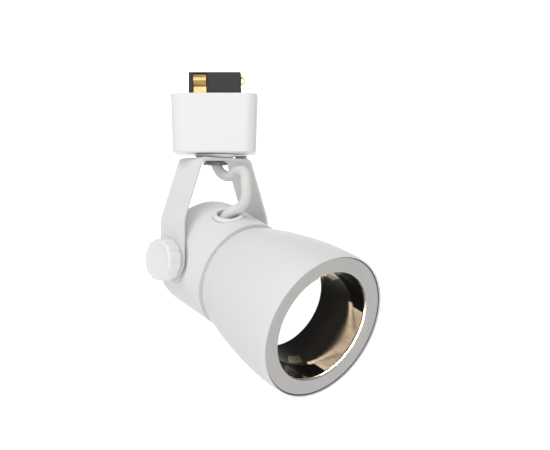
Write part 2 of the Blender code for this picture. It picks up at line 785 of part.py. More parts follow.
def make_front_bell():
    """The bell: its curved outside, a rounded lip, a recess for the ring, and a wall of even thickness."""
    outer = [bell_point(i / 14) for i in range(14)]
    lip = arc((LIP_INNER + 0.4, LIP_FRONT - 0.35), 0.35, 0, 180, 4)
    inner = []
    neck = SPIGOT_RADIUS + GAP
    for i in (10, 8, 6, 4, 2):
        r, s = bell_point(i / 12)
        inner.append((max(r - BELL_WALL, neck + 0.1), s))
    outline = [
        *outer,
        *lip,
        (LIP_INNER, LEDGE_S),
        (bell_point(0.92)[0] - BELL_WALL, LEDGE_S),
        *inner,
        (neck, SPIGOT_FRONT - 1),
        (neck, BELL_BACK),
    ]
    head_turned("front_bell", outline, WHITE_PAINT, FINE_STEPS)


def make_mouth():
    """The satin ring in the bell's mouth and the black chrome cone that it holds."""
    ring = [
        (RING_INNER, RING_BACK),
        (RING_OUTER, RING_BACK),
        (RING_OUTER, RING_FRONT - 0.2),
        (RING_OUTER - 0.2, RING_FRONT),
        *arc((RING_INNER + 0.4, RING_FRONT - 0.4), 0.4, 90, 180, 3),
    ]
    head_turned("trim_ring", ring, SATIN_NICKEL, FINE_STEPS)
    flange_front = RING_BACK - GAP
    flange_back = flange_front - 0.8
    baffle = [
        (BAFFLE_BACK_RADIUS, BAFFLE_BACK),
        (BAFFLE_BACK_RADIUS + BAFFLE_WALL, BAFFLE_BACK),
        (24.9, 65.0),
        (26.3, flange_back),
        (RING_OUTER, flange_back),
        (RING_OUTER, flange_front),
        (25.6, flange_front),
        (24.2, 65.0),
    ]
    head_turned("anti_glare_baffle", baffle, BLACK_CHROME, FINE_STEPS)


def reflector_profile(offset):
    """The lamp's bowl from its neck to its rim, as (r, s), moved inwards by offset."""
    depth = LAMP_FACE - 2.6 - LAMP_BACK - 4
    rows = []
    for i in range(7):
        t = i / 6
        flare = math.sin(t * math.pi / 2) ** 0.9
        rows.append((LAMP_NECK + (LAMP_RADIUS - LAMP_NECK) * flare - offset, LAMP_BACK + 4 + depth * t))
    return rows


def make_lamp():
    rim = LAMP_FACE - 0.2
    outline = [
        (6.0, LAMP_BACK),
        (11.0, LAMP_BACK),
        *reflector_profile(0),
        (LAMP_RADIUS, rim - 0.5),
        (LAMP_RADIUS - 0.5, rim),
        (LAMP_RADIUS - 1.0, rim),
        *reflector_profile(1.2)[:0:-1],
        (9.0, LAMP_BACK + 3.5),
        (6.0, LAMP_BACK + 3.0),
    ]
    head_turned("lamp_reflector", outline, LAMP_GLASS)
    lens_front = rim - 0.2
    crown = [(0, 0.5), (8, 0.42), (16, 0.2), (23.4, -0.4)]
    crown = [(r, lens_front + rise) for r, rise in crown]
    lens = [*crown, (23.4, lens_front - 1.4), (0, lens_front - 1.4)]
    head_turned("lamp_lens", lens, LIT_GLASS)
    capsule = [(0, 33.0), (2.2, 32.4), (3.4, 30.6), (3.8, 28.0), (3.8, 15.0), (3.0, 11.0), (0, 11.0)]
    head_turned("lamp_capsule", capsule, LIT_GLASS, 24)
    base_front = LAMP_BACK - GAP
    base_foot = BASE_BACK + 0.6
    base = [(0, base_front), (9.6, base_front), (9.6, 4.0), (8.6, base_foot)]
    base += [(8.0, BASE_BACK), (0, BASE_BACK)]
    head_turned("lamp_base", base, CERAMIC, 32)
    for name, x in (("lamp_pin_live", -PIN_SPACING / 2), ("lamp_pin_neutral", PIN_SPACING / 2)):
        pin = [(0, -0.3), (1.4, -0.3), (1.4, -4.4), (2.4, -4.6), (2.4, -6.2), (2.0, -6.6), (0, -6.6)]
        made = head_turned(name, pin, ZINC, 20)
        made.location = (x * MM, 0, 0)


def make_socket():
    outline = pin_outline(SOCKET_RADIUS, SOCKET_BACK, SOCKET_FRONT, 0.6)
    socket = head_turned("lamp_socket", outline, CERAMIC, 40)
    tools = [
        cylinder(f"pin_hole_{i}", 2.75, -5, 8.6, (x, 0), sides=20, parent=HEAD)
        for i, x in enumerate((-PIN_SPACING / 2, PIN_SPACING / 2))
    ]
    for i, y in enumerate((-SOCKET_SCREW_Y, SOCKET_SCREW_Y)):
        tools.append(cylinder(f"socket_screw_hole_{i}", 1.6, -5, 20, (0, y), sides=16, parent=HEAD))
        tools.append(cylinder(f"socket_screw_sink_{i}", 2.7, -5, 3.2, (0, y), sides=16, parent=HEAD))
    cut(socket, *tools)
    for name, y in (("socket_screw_top", -SOCKET_SCREW_Y), ("socket_screw_bottom", SOCKET_SCREW_Y)):
        outline = [(0, -1.2), (2.2, -1.2), (2.2, -2.9), (1.25, -2.9), (1.25, -15.6), (0, -16.0)]
        screw = head_turned(name, outline, ZINC, 16)
        screw.location = (0, y * MM, 0)


def make_socket_bracket():
    low = -BRACKET_S
    high = low + BRACKET_THICKNESS
    outline = rounded_rectangle(BRACKET_HALF_LENGTH, 5.4, 3.0, 4)
    bracket = prism("socket_bracket", outline, low, high, ZINC, HEAD)
    ears = prism("bracket_ears", rounded_rectangle(4.4, 10.4, 3.0, 4), low, high, parent=HEAD)
    unite(bracket, ears)
    holes = [
        cylinder(f"bracket_hole_{i}", 1.5, 5, 20, (x, 0), sides=16, parent=HEAD)
        for i, x in enumerate((-BRACKET_SCREW_X, BRACKET_SCREW_X))
    ]
    holes += [
        cylinder(f"ear_hole_{i}", 1.55, 5, 20, (0, y), sides=16, parent=HEAD)
        for i, y in enumerate((-SOCKET_SCREW_Y, SOCKET_SCREW_Y))
    ]
    cut(bracket, *holes)
    lug_low = low - GAP - LUG_THICKNESS
    rows = (
        ("bracket_screw_left", -BRACKET_SCREW_X, low - GAP),
        ("bracket_screw_right", BRACKET_SCREW_X, lug_low - GAP),
    )
    for name, x, seat in rows:
        outline = [(0, seat - 1.4), (2.0, seat - 1.2), (2.3, seat), (1.0, seat), (1.0, 17.8), (0, 18.1)]
        screw = turned(name, outline, ZINC, HEAD, 16)
        screw.location = (x * MM, 0, 0)
    lug = cylinder("earth_lug", 2.9, lug_low, low - GAP, (BRACKET_SCREW_X, 0), BRASS, HEAD, 20)
    tail_low = (BRACKET_SCREW_X - 1.1, -6.0, lug_low)
    tail = box("lug_tail", tail_low, (BRACKET_SCREW_X + 1.1, -2.0, low - GAP), parent=HEAD)
    unite(lug, tail)
    cut(lug, cylinder("lug_hole", 1.3, 5, 20, (BRACKET_SCREW_X, 0), sides=16, parent=HEAD))


def make_head_wires():
    """Conductors from the lead's end: two to the back of the socket and one to the earth lug."""
    live = (
        (-7.3, -21.3, -9.6),
        (-7.4, -19.6, -9.0),
        (-7.6, -17.6, -6.4),
        (-8.0, -16.2, 1.0),
        (-8.0, -14.6, 10.0),
        (-7.8, -12.0, 14.4),
        (-7.3, -9.4, 16.2),
        (-6.9, -7.6, 15.4),
        (-6.9, -7.3, 13.4),
    )
    neutral = (
        (-5.5, -21.3, -9.6),
        (-5.3, -19.6, -9.0),
        (-4.6, -17.9, -6.4),
        (-1.0, -17.0, 1.0),
        (4.0, -15.2, 10.0),
        (6.4, -12.2, 14.4),
        (7.1, -9.4, 16.2),
        (6.9, -7.6, 15.4),
        (6.9, -7.3, 13.4),
    )
    earth = (
        (-6.4, -20.6, -7.9),
        (-5.8, -20.0, -6.8),
        (-3.4, -19.7, -4.2),
        (1.5, -18.6, -1.0),
        (7.5, -17.0, 3.0),
        (12.0, -13.6, 7.6),
        (14.6, -9.8, 11.4),
        (15.0, -7.9, 12.5),
        (15.0, -6.5, 12.6),
    )
    tube("head_lead_live", smooth_route(live, 2), WIRE_RADIUS, BLACK_WIRE, HEAD, 1)
    tube("head_lead_neutral", smooth_route(neutral, 2), WIRE_RADIUS, WHITE_SLEEVE, HEAD, 1)
    tube("earth_lead", smooth_route(earth, 2), WIRE_RADIUS, GREEN_WIRE, HEAD, 1)


# ---------------------------------------------------------------- pivot


def knob_outline():
    outline = []
    steps = KNOB_LOBES * 6
    for i in range(steps):
        angle = 2 * math.pi * i / steps
        radius = KNOB_RADIUS - 0.75 * (1 - abs(math.cos(KNOB_LOBES * angle / 2))) ** 1.4
        outline.append((radius * math.cos(angle), radius * math.sin(angle)))
    return outline


def make_pivot():
    leg_inner = YOKE_HALF_SPAN - YOKE_THICKNESS
    for name, side in (("friction_washer_knob", KNOB_SIDE), ("friction_washer_far", FAR_SIDE)):
        outline = tube_outline(PIVOT_HOLE + 0.05, 7.0, PIVOT_FLAT + GAP, leg_inner - GAP)
        turned(name, outline, BLACK_PLASTIC, side, 32)
    washer_low = YOKE_HALF_SPAN + GAP
    washer_high = washer_low + KNOB_WASHER
    outline = tube_outline(PIVOT_HOLE, 8.2, washer_low, washer_high, 0.2)
    turned("knob_washer", outline, WHITE_PLASTIC, KNOB_SIDE, 40)
    knob_low = washer_high + GAP
    knob = prism("tilt_knob", knob_outline(), knob_low, KNOB_FACE, WHITE_PLASTIC, KNOB_SIDE)
    soften(knob, 0.9, 2, 60)
    cut(knob, cylinder("knob_bore", STUD_RADIUS + GAP, 20, knob_low + 4.2, sides=24, parent=KNOB_SIDE))
    turned("knob_stud", pin_outline(STUD_RADIUS, STUD_END, knob_low + 3.9, 0.3), ZINC, KNOB_SIDE, 24)
    outline = tube_outline(PIVOT_HOLE, 5.6, washer_low, washer_low + SCREW_WASHER)
    turned("pivot_washer", outline, ZINC, FAR_SIDE, 32)
    head_low = washer_low + SCREW_WASHER + GAP
    outline = [
        (0, head_low + 2.4),
        (2.4, head_low + 2.3),
        (4.0, head_low + 1.6),
        (4.6, head_low + 0.6),
        (4.6, head_low),
        (STUD_RADIUS, head_low),
        (STUD_RADIUS, STUD_END + 0.3),
        (STUD_RADIUS - 0.3, STUD_END),
        (0, STUD_END),
    ]
    screw = turned("pivot_screw", outline, ZINC, FAR_SIDE, 32)
    slots = [
        box("pivot_slot_a", (-2.0, -0.4, head_low + 1.2), (2.0, 0.4, head_low + 5), parent=FAR_SIDE),
        box("pivot_slot_b", (-0.4, -2.0, head_low + 1.1), (0.4, 2.0, head_low + 5), parent=FAR_SIDE),
    ]
    cut(screw, *slots)


def make_supply_lead():
    tube("supply_lead", smooth_route(LEAD_ROUTE, 2), LEAD_RADIUS, WHITE_SLEEVE)


make_adapter_housing()
make_adapter_cover()
make_cover_screws()
make_contact_block()
make_contacts()
make_release_latch()
make_latch_spring()
make_adapter_wires()
make_swivel()
make_yoke()
make_rear_housing()
make_grommet()
make_front_bell()
make_mouth()
make_lamp()
make_socket()
make_socket_bracket()
make_head_wires()
make_pivot()
make_supply_lead()
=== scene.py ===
"""The looks of a track spotlight: a white adapter, a bent yoke, and a lamp head with a dark anti-glare cone.

Sizes are in millimetres in the part's own frames, and MM turns them into the scene's metres.
"""
import json
import math

import bmesh
import bpy
from mathutils import Euler, Matrix, Vector


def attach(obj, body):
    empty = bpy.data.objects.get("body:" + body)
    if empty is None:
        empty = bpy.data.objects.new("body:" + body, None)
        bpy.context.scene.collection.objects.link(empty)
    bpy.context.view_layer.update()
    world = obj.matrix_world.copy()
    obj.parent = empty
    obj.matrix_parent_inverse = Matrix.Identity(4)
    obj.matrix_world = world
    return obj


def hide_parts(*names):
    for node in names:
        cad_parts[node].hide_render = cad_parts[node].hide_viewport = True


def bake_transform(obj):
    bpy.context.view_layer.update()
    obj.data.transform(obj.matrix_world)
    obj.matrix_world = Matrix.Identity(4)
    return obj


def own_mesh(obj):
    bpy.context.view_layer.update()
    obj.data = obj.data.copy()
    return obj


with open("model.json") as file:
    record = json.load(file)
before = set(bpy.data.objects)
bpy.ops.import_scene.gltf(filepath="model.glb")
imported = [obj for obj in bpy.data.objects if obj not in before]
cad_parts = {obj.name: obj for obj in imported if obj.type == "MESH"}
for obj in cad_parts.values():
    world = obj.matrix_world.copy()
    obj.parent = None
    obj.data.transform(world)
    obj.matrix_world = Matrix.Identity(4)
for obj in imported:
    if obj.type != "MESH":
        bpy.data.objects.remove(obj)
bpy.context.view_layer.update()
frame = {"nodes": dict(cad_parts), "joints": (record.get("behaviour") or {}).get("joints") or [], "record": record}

MM = 0.001
GAP = 0.3  # the clearance between two parts

# ---------------------------------------------------------------- frames

JOINTS = {joint["name"]: joint for joint in frame["joints"]}


def axes_frame(x_axis, z_axis, place):
    """A frame at a place, from its X axis and the side its Z axis points to."""
    x = Vector(x_axis).normalized()
    z = Vector(z_axis)
    z = (z - x * z.dot(x)).normalized()
    turn = Matrix((x, z.cross(x), z)).transposed()
    return Matrix.Translation(place) @ turn.to_4x4()


TILT = Vector(JOINTS["head_tilt"]["axis"])
PIVOT = Vector(JOINTS["head_tilt"]["pos_m"])
LOOK = Vector(JOINTS["bell_twist"]["axis"])
PIVOT_HEIGHT = PIVOT.z / MM

# In the head's frame Z is the lamp's axis with the mouth at -Z, and X is the tilt axis with the knob at -X.
# The letter s stands for a distance along that axis, from the tilt axis forwards to the mouth.
ADAPTER = Matrix.Identity(4)
SWIVEL = axes_frame(TILT, (0, 0, 1), (0, 0, 0))
HEAD = axes_frame(TILT, -LOOK, PIVOT)
KNOB_SIDE = HEAD @ Matrix.Rotation(-math.pi / 2, 4, "Y")
FAR_SIDE = HEAD @ Matrix.Rotation(math.pi / 2, 4, "Y")

# The cable port's Z axis points out of the head, and leans towards the knob.
PORT_S = 8.4
PORT_LEAN = math.radians(14.8)
PORT_AIM = Euler((math.pi / 2, 0, -PORT_LEAN)).to_matrix().to_4x4()
PORT = HEAD @ Matrix.Translation((0, 0, -PORT_S * MM)) @ PORT_AIM

# ---------------------------------------------------------------- camera

VIEW_POINT = (28.7, -589.6, -61.83)
VIEW_LENS = 80.3

camera_data = bpy.data.cameras.new("camera")
camera_data.lens = VIEW_LENS
camera_data.sensor_width = 36.0
camera_data.clip_end = 50.0  # metres
camera = bpy.data.objects.new("camera", camera_data)
camera.location = [v * MM for v in VIEW_POINT]
camera.rotation_euler = (math.pi / 2, 0, 0)
bpy.context.scene.collection.objects.link(camera)
bpy.context.scene.camera = camera
bpy.context.scene.view_settings.view_transform = "Standard"

# ---------------------------------------------------------------- materials

# Bright patches, with their values in the order that Look.glow gives. The cone mirrors them as light bands.
LAMP_PATCHES = (
    (21.95, 24.5, 0.4, 212.5, 116.0, 88.0),
    (22.4, 22.6, 0.3, 209.0, 106.0, 120.0),
    (16.5, 21.2, 0.0, 0.0, 21.0, 4.6),
)
# The cone's own patch is painted light: a warm glowing band on the black cone, a painted reflection of the lamp's
# beam, though the cone is no lamp.
CONE_PAINTED_BANDS = ((-1.0, 3.8, 0.0, 210.5, 107.0, 88.0),)
PATCH_EDGE = 0.1  # half the width over which a patch fades in, in millimetres
PATCH_EDGE_ANGLE = 2  # the same for its sides, in degrees


class Look:
    """A Principled material whose colour, gloss and relief come from procedural nodes."""

    def __init__(self, name, colour, roughness, metallic=0.0, **settings):
        self.material = bpy.data.materials.new(name)
        self.material.use_nodes = True
        self.nodes = self.material.node_tree.nodes
        self.links = self.material.node_tree.links
        self.shader = self.nodes["Principled BSDF"]
        self.colour = colour
        self.roughness = roughness
        self.shader.inputs["Base Color"].default_value = (*colour, 1.0)
        self.shader.inputs["Roughness"].default_value = roughness
        self.shader.inputs["Metallic"].default_value = metallic
        for socket, value in settings.items():
            self.shader.inputs[socket.replace("_", " ")].default_value = value
        self.place = self.node("ShaderNodeTexCoord").outputs["Object"]
        self.relief = None

    def node(self, kind, **values):
        """Adds a node, and sets its sockets or else its properties."""
        made = self.nodes.new(kind)
        for name, value in values.items():
            if name in made.inputs:
                made.inputs[name].default_value = value
            else:
                setattr(made, name, value)
        return made

    def noise(self, scale, detail=3.0, place=None, stretch=None):
        """Noise with a scale in cycles per metre, stretched along the given factors."""
        texture = self.node("ShaderNodeTexNoise", Scale=scale, Detail=detail)
        source = place or self.place
        if stretch:
            mapping = self.node("ShaderNodeMapping")
            mapping.inputs["Scale"].default_value = stretch
            self.links.new(source, mapping.inputs["Vector"])
            source = mapping.outputs["Vector"]
        self.links.new(source, texture.inputs["Vector"])
        return texture.outputs["Fac"]

    def tint(self, factor, spread):
        """Lets the colour drift by a share either way."""
        ramp = self.node("ShaderNodeValToRGB")
        low, high = ramp.color_ramp.elements
        low.position = 0.3
        high.position = 0.7
        low.color = (*[c * (1 - spread) for c in self.colour], 1.0)
        high.color = (*[min(c * (1 + spread), 1.0) for c in self.colour], 1.0)
        self.links.new(factor, ramp.inputs["Fac"])
        self.links.new(ramp.outputs["Color"], self.shader.inputs["Base Color"])
        return self

    def gloss(self, factor, spread):
        """Lets the roughness drift either way."""
        drift = self.node("ShaderNodeMapRange")
        drift.inputs["From Min"].default_value = 0.3
        drift.inputs["From Max"].default_value = 0.7
        drift.inputs["To Min"].default_value = self.roughness - spread
        drift.inputs["To Max"].default_value = self.roughness + spread
        self.links.new(factor, drift.inputs["Value"])
        self.links.new(drift.outputs["Result"], self.shader.inputs["Roughness"])
        return self

    def bump(self, height, depth):
        """Adds relief. Depth is in millimetres."""
        raised = self.node("ShaderNodeBump", Strength=1.0, Distance=depth * MM)
        self.links.new(height, raised.inputs["Height"])
        if self.relief:
            self.links.new(self.relief, raised.inputs["Normal"])
        self.relief = raised.outputs["Normal"]
        self.links.new(self.relief, self.shader.inputs["Normal"])
        return self

    def maths(self, operation, *values):
        """Works out one sum. A value is a number or another node's output."""
        worked = self.node("ShaderNodeMath", operation=operation)
        for socket, value in zip(worked.inputs, values):
            if isinstance(value, float):
                socket.default_value = value
            else:
                self.links.new(value, socket)
        return worked.outputs["Value"]

    def step(self, source, start, end):
        """Rises smoothly from 0 where the source is at start to 1 where it is at end."""
        edge = self.node("ShaderNodeMapRange", interpolation_type="SMOOTHSTEP")
        edge.inputs["From Min"].default_value = start
        edge.inputs["From Max"].default_value = end
        self.links.new(source, edge.inputs["Value"])
        return edge.outputs["Result"]

    # On the lamp's cover this glow is the lamp's light; on the black cone, which is no lamp, it is painted light.
    def glow(self, even, patches):
        """Makes a turned surface glow evenly, and more brightly and warmly in patches.

        A patch is (nearest, farthest, offset, middle angle, half angle, strength). Nearest and farthest are
        distances along the turned outline in millimetres, and offset moves that band outwards at the middle
        angle. Angles are in degrees.
        """
        place = self.node("ShaderNodeAttribute", attribute_name="turning").outputs["Vector"]
        parts = self.node("ShaderNodeSeparateXYZ")
        self.links.new(place, parts.inputs[0])
        total = 0.0
        for nearest, farthest, offset, middle, half, strength in patches:
            facing = self.node("ShaderNodeVectorMath", operation="DOT_PRODUCT")
            self.links.new(place, facing.inputs[0])
            turn = math.radians(middle)
            facing.inputs[1].default_value = (math.cos(turn), math.sin(turn), 0)
            facing = facing.outputs["Value"]
            outside = math.cos(math.radians(half + PATCH_EDGE_ANGLE))
            inside = math.cos(math.radians(half - PATCH_EDGE_ANGLE))
            sector = self.step(facing, outside, inside)
            along = self.maths("MULTIPLY_ADD", facing, -offset, parts.outputs["Z"])
            start = self.step(along, nearest - PATCH_EDGE, nearest + PATCH_EDGE)
            end = self.step(along, farthest + PATCH_EDGE, farthest - PATCH_EDGE)
            patch = self.maths("MULTIPLY", self.maths("MULTIPLY", start, end), sector)
            total = self.maths("MULTIPLY_ADD", patch, strength, total)
        shimmer = self.maths("MULTIPLY_ADD", self.noise(900), 1.4, 0.3)
        brightness = self.maths("MULTIPLY_ADD", total, shimmer, even)
        self.links.new(brightness, self.shader.inputs["Emission Strength"])
        warmth = self.node("ShaderNodeValToRGB")
        low, high = warmth.color_ramp.elements
        low.color = (1.0, 0.99, 0.97, 1.0)
        high.color = (1.0, 0.86, 0.64, 1.0)
        self.links.new(total, warmth.inputs["Fac"])
        self.links.new(warmth.outputs["Color"], self.shader.inputs["Emission Color"])
        return self


def moulded(name, colour, roughness):
    """Moulded plastic: satin, with a very fine spark-eroded grain."""
    made = Look(name, colour, roughness)
    made.tint(made.noise(60, 2), 0.006)
    made.gloss(made.noise(350), 0.03)
    return made.bump(made.noise(5200, 2), 0.006).material


def powder_coat(name, colour):
    """Powder coat on a casting: even colour and a faint orange peel."""
    made = Look(name, colour, 0.42, Specular_IOR_Level=0.45)
    made.tint(made.noise(40, 2), 0.006)
    made.gloss(made.noise(420), 0.04)
    made.bump(made.noise(900, 2), 0.012)
    return made.bump(made.noise(4200, 1), 0.004).material


def plated(name, colour, roughness):
    """Zinc or nickel plate on steel, slightly cloudy."""
    made = Look(name, colour, roughness, 1.0)
    made.tint(made.noise(260), 0.1)
    made.gloss(made.noise(700), 0.07)
    return made.bump(made.noise(1500, 4), 0.006).material


def turned_metal(name, colour, roughness, depth, spread):
    """Metal with the fine concentric lines that turning and brushing leave, as a Look."""
    made = Look(name, colour, roughness, 1.0)
    lines = made.node("ShaderNodeAttribute", attribute_name="turning").outputs["Vector"]
    fine = made.noise(1.0, 2, lines, (1.2, 1.2, 14.0))
    broad = made.noise(1.0, 2, lines, (2.5, 2.5, 3.0))
    made.tint(broad, 0.05)
    made.gloss(fine, spread)
    return made.bump(fine, depth)


def insulation(name, colour):
    """The soft plastic on a conductor."""
    made = Look(name, colour, 0.45)
    made.gloss(made.noise(500), 0.06)
    return made.bump(made.noise(1600, 2), 0.01).material


def fired_ceramic(name, colour):
    """Unglazed ceramic, slightly pitted."""
    made = Look(name, colour, 0.5)
    made.tint(made.noise(300), 0.03)
    return made.bump(made.noise(1400, 4), 0.02).material


def woven_sleeve(name, colour):
    """A fine braided sleeve: two families of threads cross at an angle round the tube."""
    made = Look(name, colour, 0.62, Sheen_Weight=0.15)
    around = made.node("ShaderNodeUVMap", uv_map="wrap").outputs["UV"]
    heights = []
    for slant in (1, -1):
        mapping = made.node("ShaderNodeMapping")
        mapping.inputs["Rotation"].default_value = (0, 0, slant * math.radians(38))
        wave = made.node("ShaderNodeTexWave", Scale=0.55, Distortion=0.15)
        made.links.new(around, mapping.inputs["Vector"])
        made.links.new(mapping.outputs["Vector"], wave.inputs["Vector"])
        heights.append(wave.outputs["Fac"])
    threads = made.maths("MAXIMUM", *heights)
    made.tint(threads, 0.015)
    return made.bump(threads, 0.03).material


def lit_glass(name, colour, even):
    """The lamp's glowing cover: even and white, with brighter warm patches where its light is gathered."""
    made = Look(name, colour, 0.2, Specular_IOR_Level=0.0).glow(even, LAMP_PATCHES)
    cells = made.node("ShaderNodeTexVoronoi", Scale=420.0)
    made.links.new(made.place, cells.inputs["Vector"])
    return made.bump(cells.outputs["Distance"], 0.1).material


def coated_glass(name, colour):
    """The lamp's bowl: pale coated glass, slightly wavy."""
    made = Look(name, colour, 0.16, Coat_Weight=0.5)
    made.tint(made.noise(200), 0.02)
    return made.bump(made.noise(300, 2), 0.02).material


LOOKS = {
    "white_plastic": moulded("white_plastic", (0.86, 0.86, 0.855), 0.36),
    "white_paint": powder_coat("white_paint", (0.8, 0.8, 0.8)),
    "white_sleeve": woven_sleeve("white_sleeve", (0.74, 0.735, 0.715)),
    "black_plastic": moulded("black_plastic", (0.018, 0.018, 0.019), 0.42),
    "satin_nickel": turned_metal("satin_nickel", (0.53, 0.52, 0.505), 0.3, 0.006, 0.05).material,
    # The cone glows though it is no lamp: a faint even painted sheen and a bright warm painted reflection band.
    "black_chrome": turned_metal("black_chrome", (0.0045, 0.004, 0.0036), 0.03, 0.0003, 0.005)
    .glow(0.005, CONE_PAINTED_BANDS)
    .material,
    "zinc": plated("zinc", (0.24, 0.24, 0.25), 0.16),
    "spring_steel": plated("spring_steel", (0.5, 0.5, 0.52), 0.3),
    "brass": plated("brass", (0.75, 0.54, 0.24), 0.28),
    "ceramic": fired_ceramic("ceramic", (0.82, 0.8, 0.75)),
    "lamp_bowl": coated_glass("lamp_bowl", (0.85, 0.85, 0.84)),
    "lit_glass": lit_glass("lit_glass", (0.1, 0.1, 0.1), 1.0),
    "black_insulation": insulation("black_insulation", (0.02, 0.02, 0.02)),
    "white_insulation": insulation("white_insulation", (0.78, 0.77, 0.75)),
    "green_insulation": insulation("green_insulation", (0.05, 0.25, 0.07)),
}

# ---------------------------------------------------------------- modelling tools

TURN_STEPS = 160
CORNER_SHARE = 0.49  # the most of a side that the rounding of one corner may take
TOOLS = []  # the cutters that wait to be removed


def add(name, points, faces, place):
    """An object whose points are given in millimetres in a frame."""
    mesh = bpy.data.meshes.new(name)
    mesh.from_pydata([place @ (Vector(p) * MM) for p in points], [], faces)
    shape = bmesh.new()
    shape.from_mesh(mesh)
    bmesh.ops.recalc_face_normals(shape, faces=shape.faces)
    shape.to_mesh(mesh)
    shape.free()
    made = bpy.data.objects.new(name, mesh)
    bpy.context.scene.collection.objects.link(made)
    return made


def skin(name, rings, place, closed=False):
    """Joins rings of points. A ring of one point closes an end, and closed joins the last to the first."""
    points, numbers = [], []
    for ring in rings:
        numbers.append(range(len(points), len(points) + len(ring)))
        points += ring
    faces = []
    for a, b in zip(numbers, [*numbers[1:], numbers[0]] if closed else numbers[1:]):
        count = max(len(a), len(b))
        for i in range(count):
            j = (i + 1) % count
            corners = (a[i % len(a)], a[j % len(a)], b[j % len(b)], b[i % len(b)])
            faces.append(tuple(dict.fromkeys(corners)))
    return add(name, points, faces, place)


def rounded(outline, steps=4, closed=True):
    """An outline whose points may carry a third value, the radius of that corner."""
    drawn = []
    last = len(outline) - 1
    for i, point in enumerate(outline):
        here = Vector(point[:2])
        radius = point[2] if len(point) > 2 else 0
        if not radius or (not closed and i in (0, last)):
            drawn.append(tuple(here))
            continue
        back = Vector(outline[i - 1][:2]) - here
        ahead = Vector(outline[(i + 1) % len(outline)][:2]) - here
        longest = min(back.length * CORNER_SHARE, ahead.length * CORNER_SHARE)
        reach = min(radius / math.tan(back.angle(ahead) / 2), longest)
        first = here + back.normalized() * reach
        final = here + ahead.normalized() * reach
        for step in range(steps + 1):
            t = step / steps
            drawn.append(tuple(first * (1 - t) ** 2 + here * 2 * t * (1 - t) + final * t**2))
    return drawn


def lathe(name, outline, place, steps=TURN_STEPS, corner_steps=4):
    """Turns an outline of (radius, height, corner radius) about the frame's Z axis.

    The attribute "turning" holds each point's direction from the axis and its distance along the outline.
    """
    on_axis = outline[0][0] == 0
    section = rounded(outline, corner_steps, not on_axis)
    turns = [2 * math.pi * i / steps for i in range(steps)]
    rings, along = [], []
    travelled = 0.0
    for i, (r, z) in enumerate(section):
        travelled += math.dist(section[i - 1], (r, z)) if i else 0
        around = turns if r > 0 else [0.0]
        rings.append([(r * math.cos(t), r * math.sin(t), z) for t in around])
        along += [(math.cos(t), math.sin(t), travelled) for t in around]
    made = skin(name, rings, place, closed=not on_axis)
    lines = made.data.attributes.new("turning", "FLOAT_VECTOR", "POINT")
    lines.data.foreach_set("vector", [v for row in along for v in row])
    return made


def head_lathe(name, outline, steps=TURN_STEPS, corner_steps=4):
    """Turns an outline of (radius, s, corner radius), where s runs forwards along the head's axis."""
    return lathe(name, [(p[0], -p[1], *p[2:]) for p in outline], HEAD, steps, corner_steps)


def prism(name, outline, low, high, place, plane="XY"):
    """A flat outline in one plane of the frame, extruded across it from low to high."""
    turn = {
        "XY": Matrix.Identity(4),
        "XZ": Matrix(((1, 0, 0, 0), (0, 0, 1, 0), (0, 1, 0, 0), (0, 0, 0, 1))),
        "YZ": Matrix(((0, 0, 1, 0), (1, 0, 0, 0), (0, 1, 0, 0), (0, 0, 0, 1))),
    }[plane]
    count = len(outline)
    points = [(x, y, z) for z in (low, high) for x, y in outline]
    faces = [tuple(range(count)), tuple(range(count, 2 * count))]
    faces += [(i, (i + 1) % count, (i + 1) % count + count, i + count) for i in range(count)]
    return add(name, points, faces, place @ turn)


def box(name, low, high, place):
    """A box between two corners."""
    outline = [(low[0], low[1]), (high[0], low[1]), (high[0], high[1]), (low[0], high[1])]
    return prism(name, outline, low[2], high[2], place)


def settle(piece):
    """Turns the piece's modifiers into its mesh, and removes the tools that they used."""
    graph = bpy.context.evaluated_depsgraph_get()
    piece.data = bpy.data.meshes.new_from_object(piece.evaluated_get(graph))
    piece.modifiers.clear()
    for tool in TOOLS:
        bpy.data.objects.remove(tool)
    TOOLS.clear()
    return piece


def joined(piece, operation, *tools):
    """Cuts or adds the tools, and uses them up."""
    for tool in tools:
        step = piece.modifiers.new("Join", "BOOLEAN")
        step.operation = operation
        step.solver = "EXACT"
        step.object = tool
        TOOLS.append(tool)
    return settle(piece)


def cut(piece, *tools):
    return joined(piece, "DIFFERENCE", *tools)


def unite(piece, *tools):
    return joined(piece, "UNION", *tools)


def ease(piece, width, segments=3, angle=30):
    """Rounds the piece's edges."""
    bevel = piece.modifiers.new("Edges", "BEVEL")
    bevel.width = width * MM
    bevel.segments = segments
    bevel.limit_method = "ANGLE"
    bevel.angle_limit = math.radians(angle)
    return settle(piece)


def finish_piece(piece, body, slot, *nodes, angle=32):
    """Smooths a piece, gives it its look, sets it on its body and stands it in for CAD nodes."""
    piece.data.shade_smooth()
    piece.data.set_sharp_from_angle(angle=math.radians(angle))
    normals = piece.modifiers.new("Normals", "WEIGHTED_NORMAL")
    normals.keep_sharp = True
    piece.data.materials.clear()
    piece.data.materials.append(LOOKS[slot])
    if body:
        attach(piece, body)
    if nodes:
        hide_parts(*nodes)
    return piece


def arc(centre, radius, start, end, steps):
    """Points of an arc, with its angles in degrees."""
    turns = [math.radians(start + (end - start) * i / steps) for i in range(steps + 1)]
    return [(centre[0] + radius * math.cos(t), centre[1] + radius * math.sin(t)) for t in turns]


def rounded_rectangle(half_x, half_y, corner, steps=12):
    """A rectangle about the origin, drawn anticlockwise from its right side."""
    outline = []
    for quarter, (sx, sy) in enumerate(((1, 1), (-1, 1), (-1, -1), (1, -1))):
        centre = (sx * (half_x - corner), sy * (half_y - corner))
        outline += arc(centre, corner, 90 * quarter, 90 * quarter + 90, steps)
    return outline


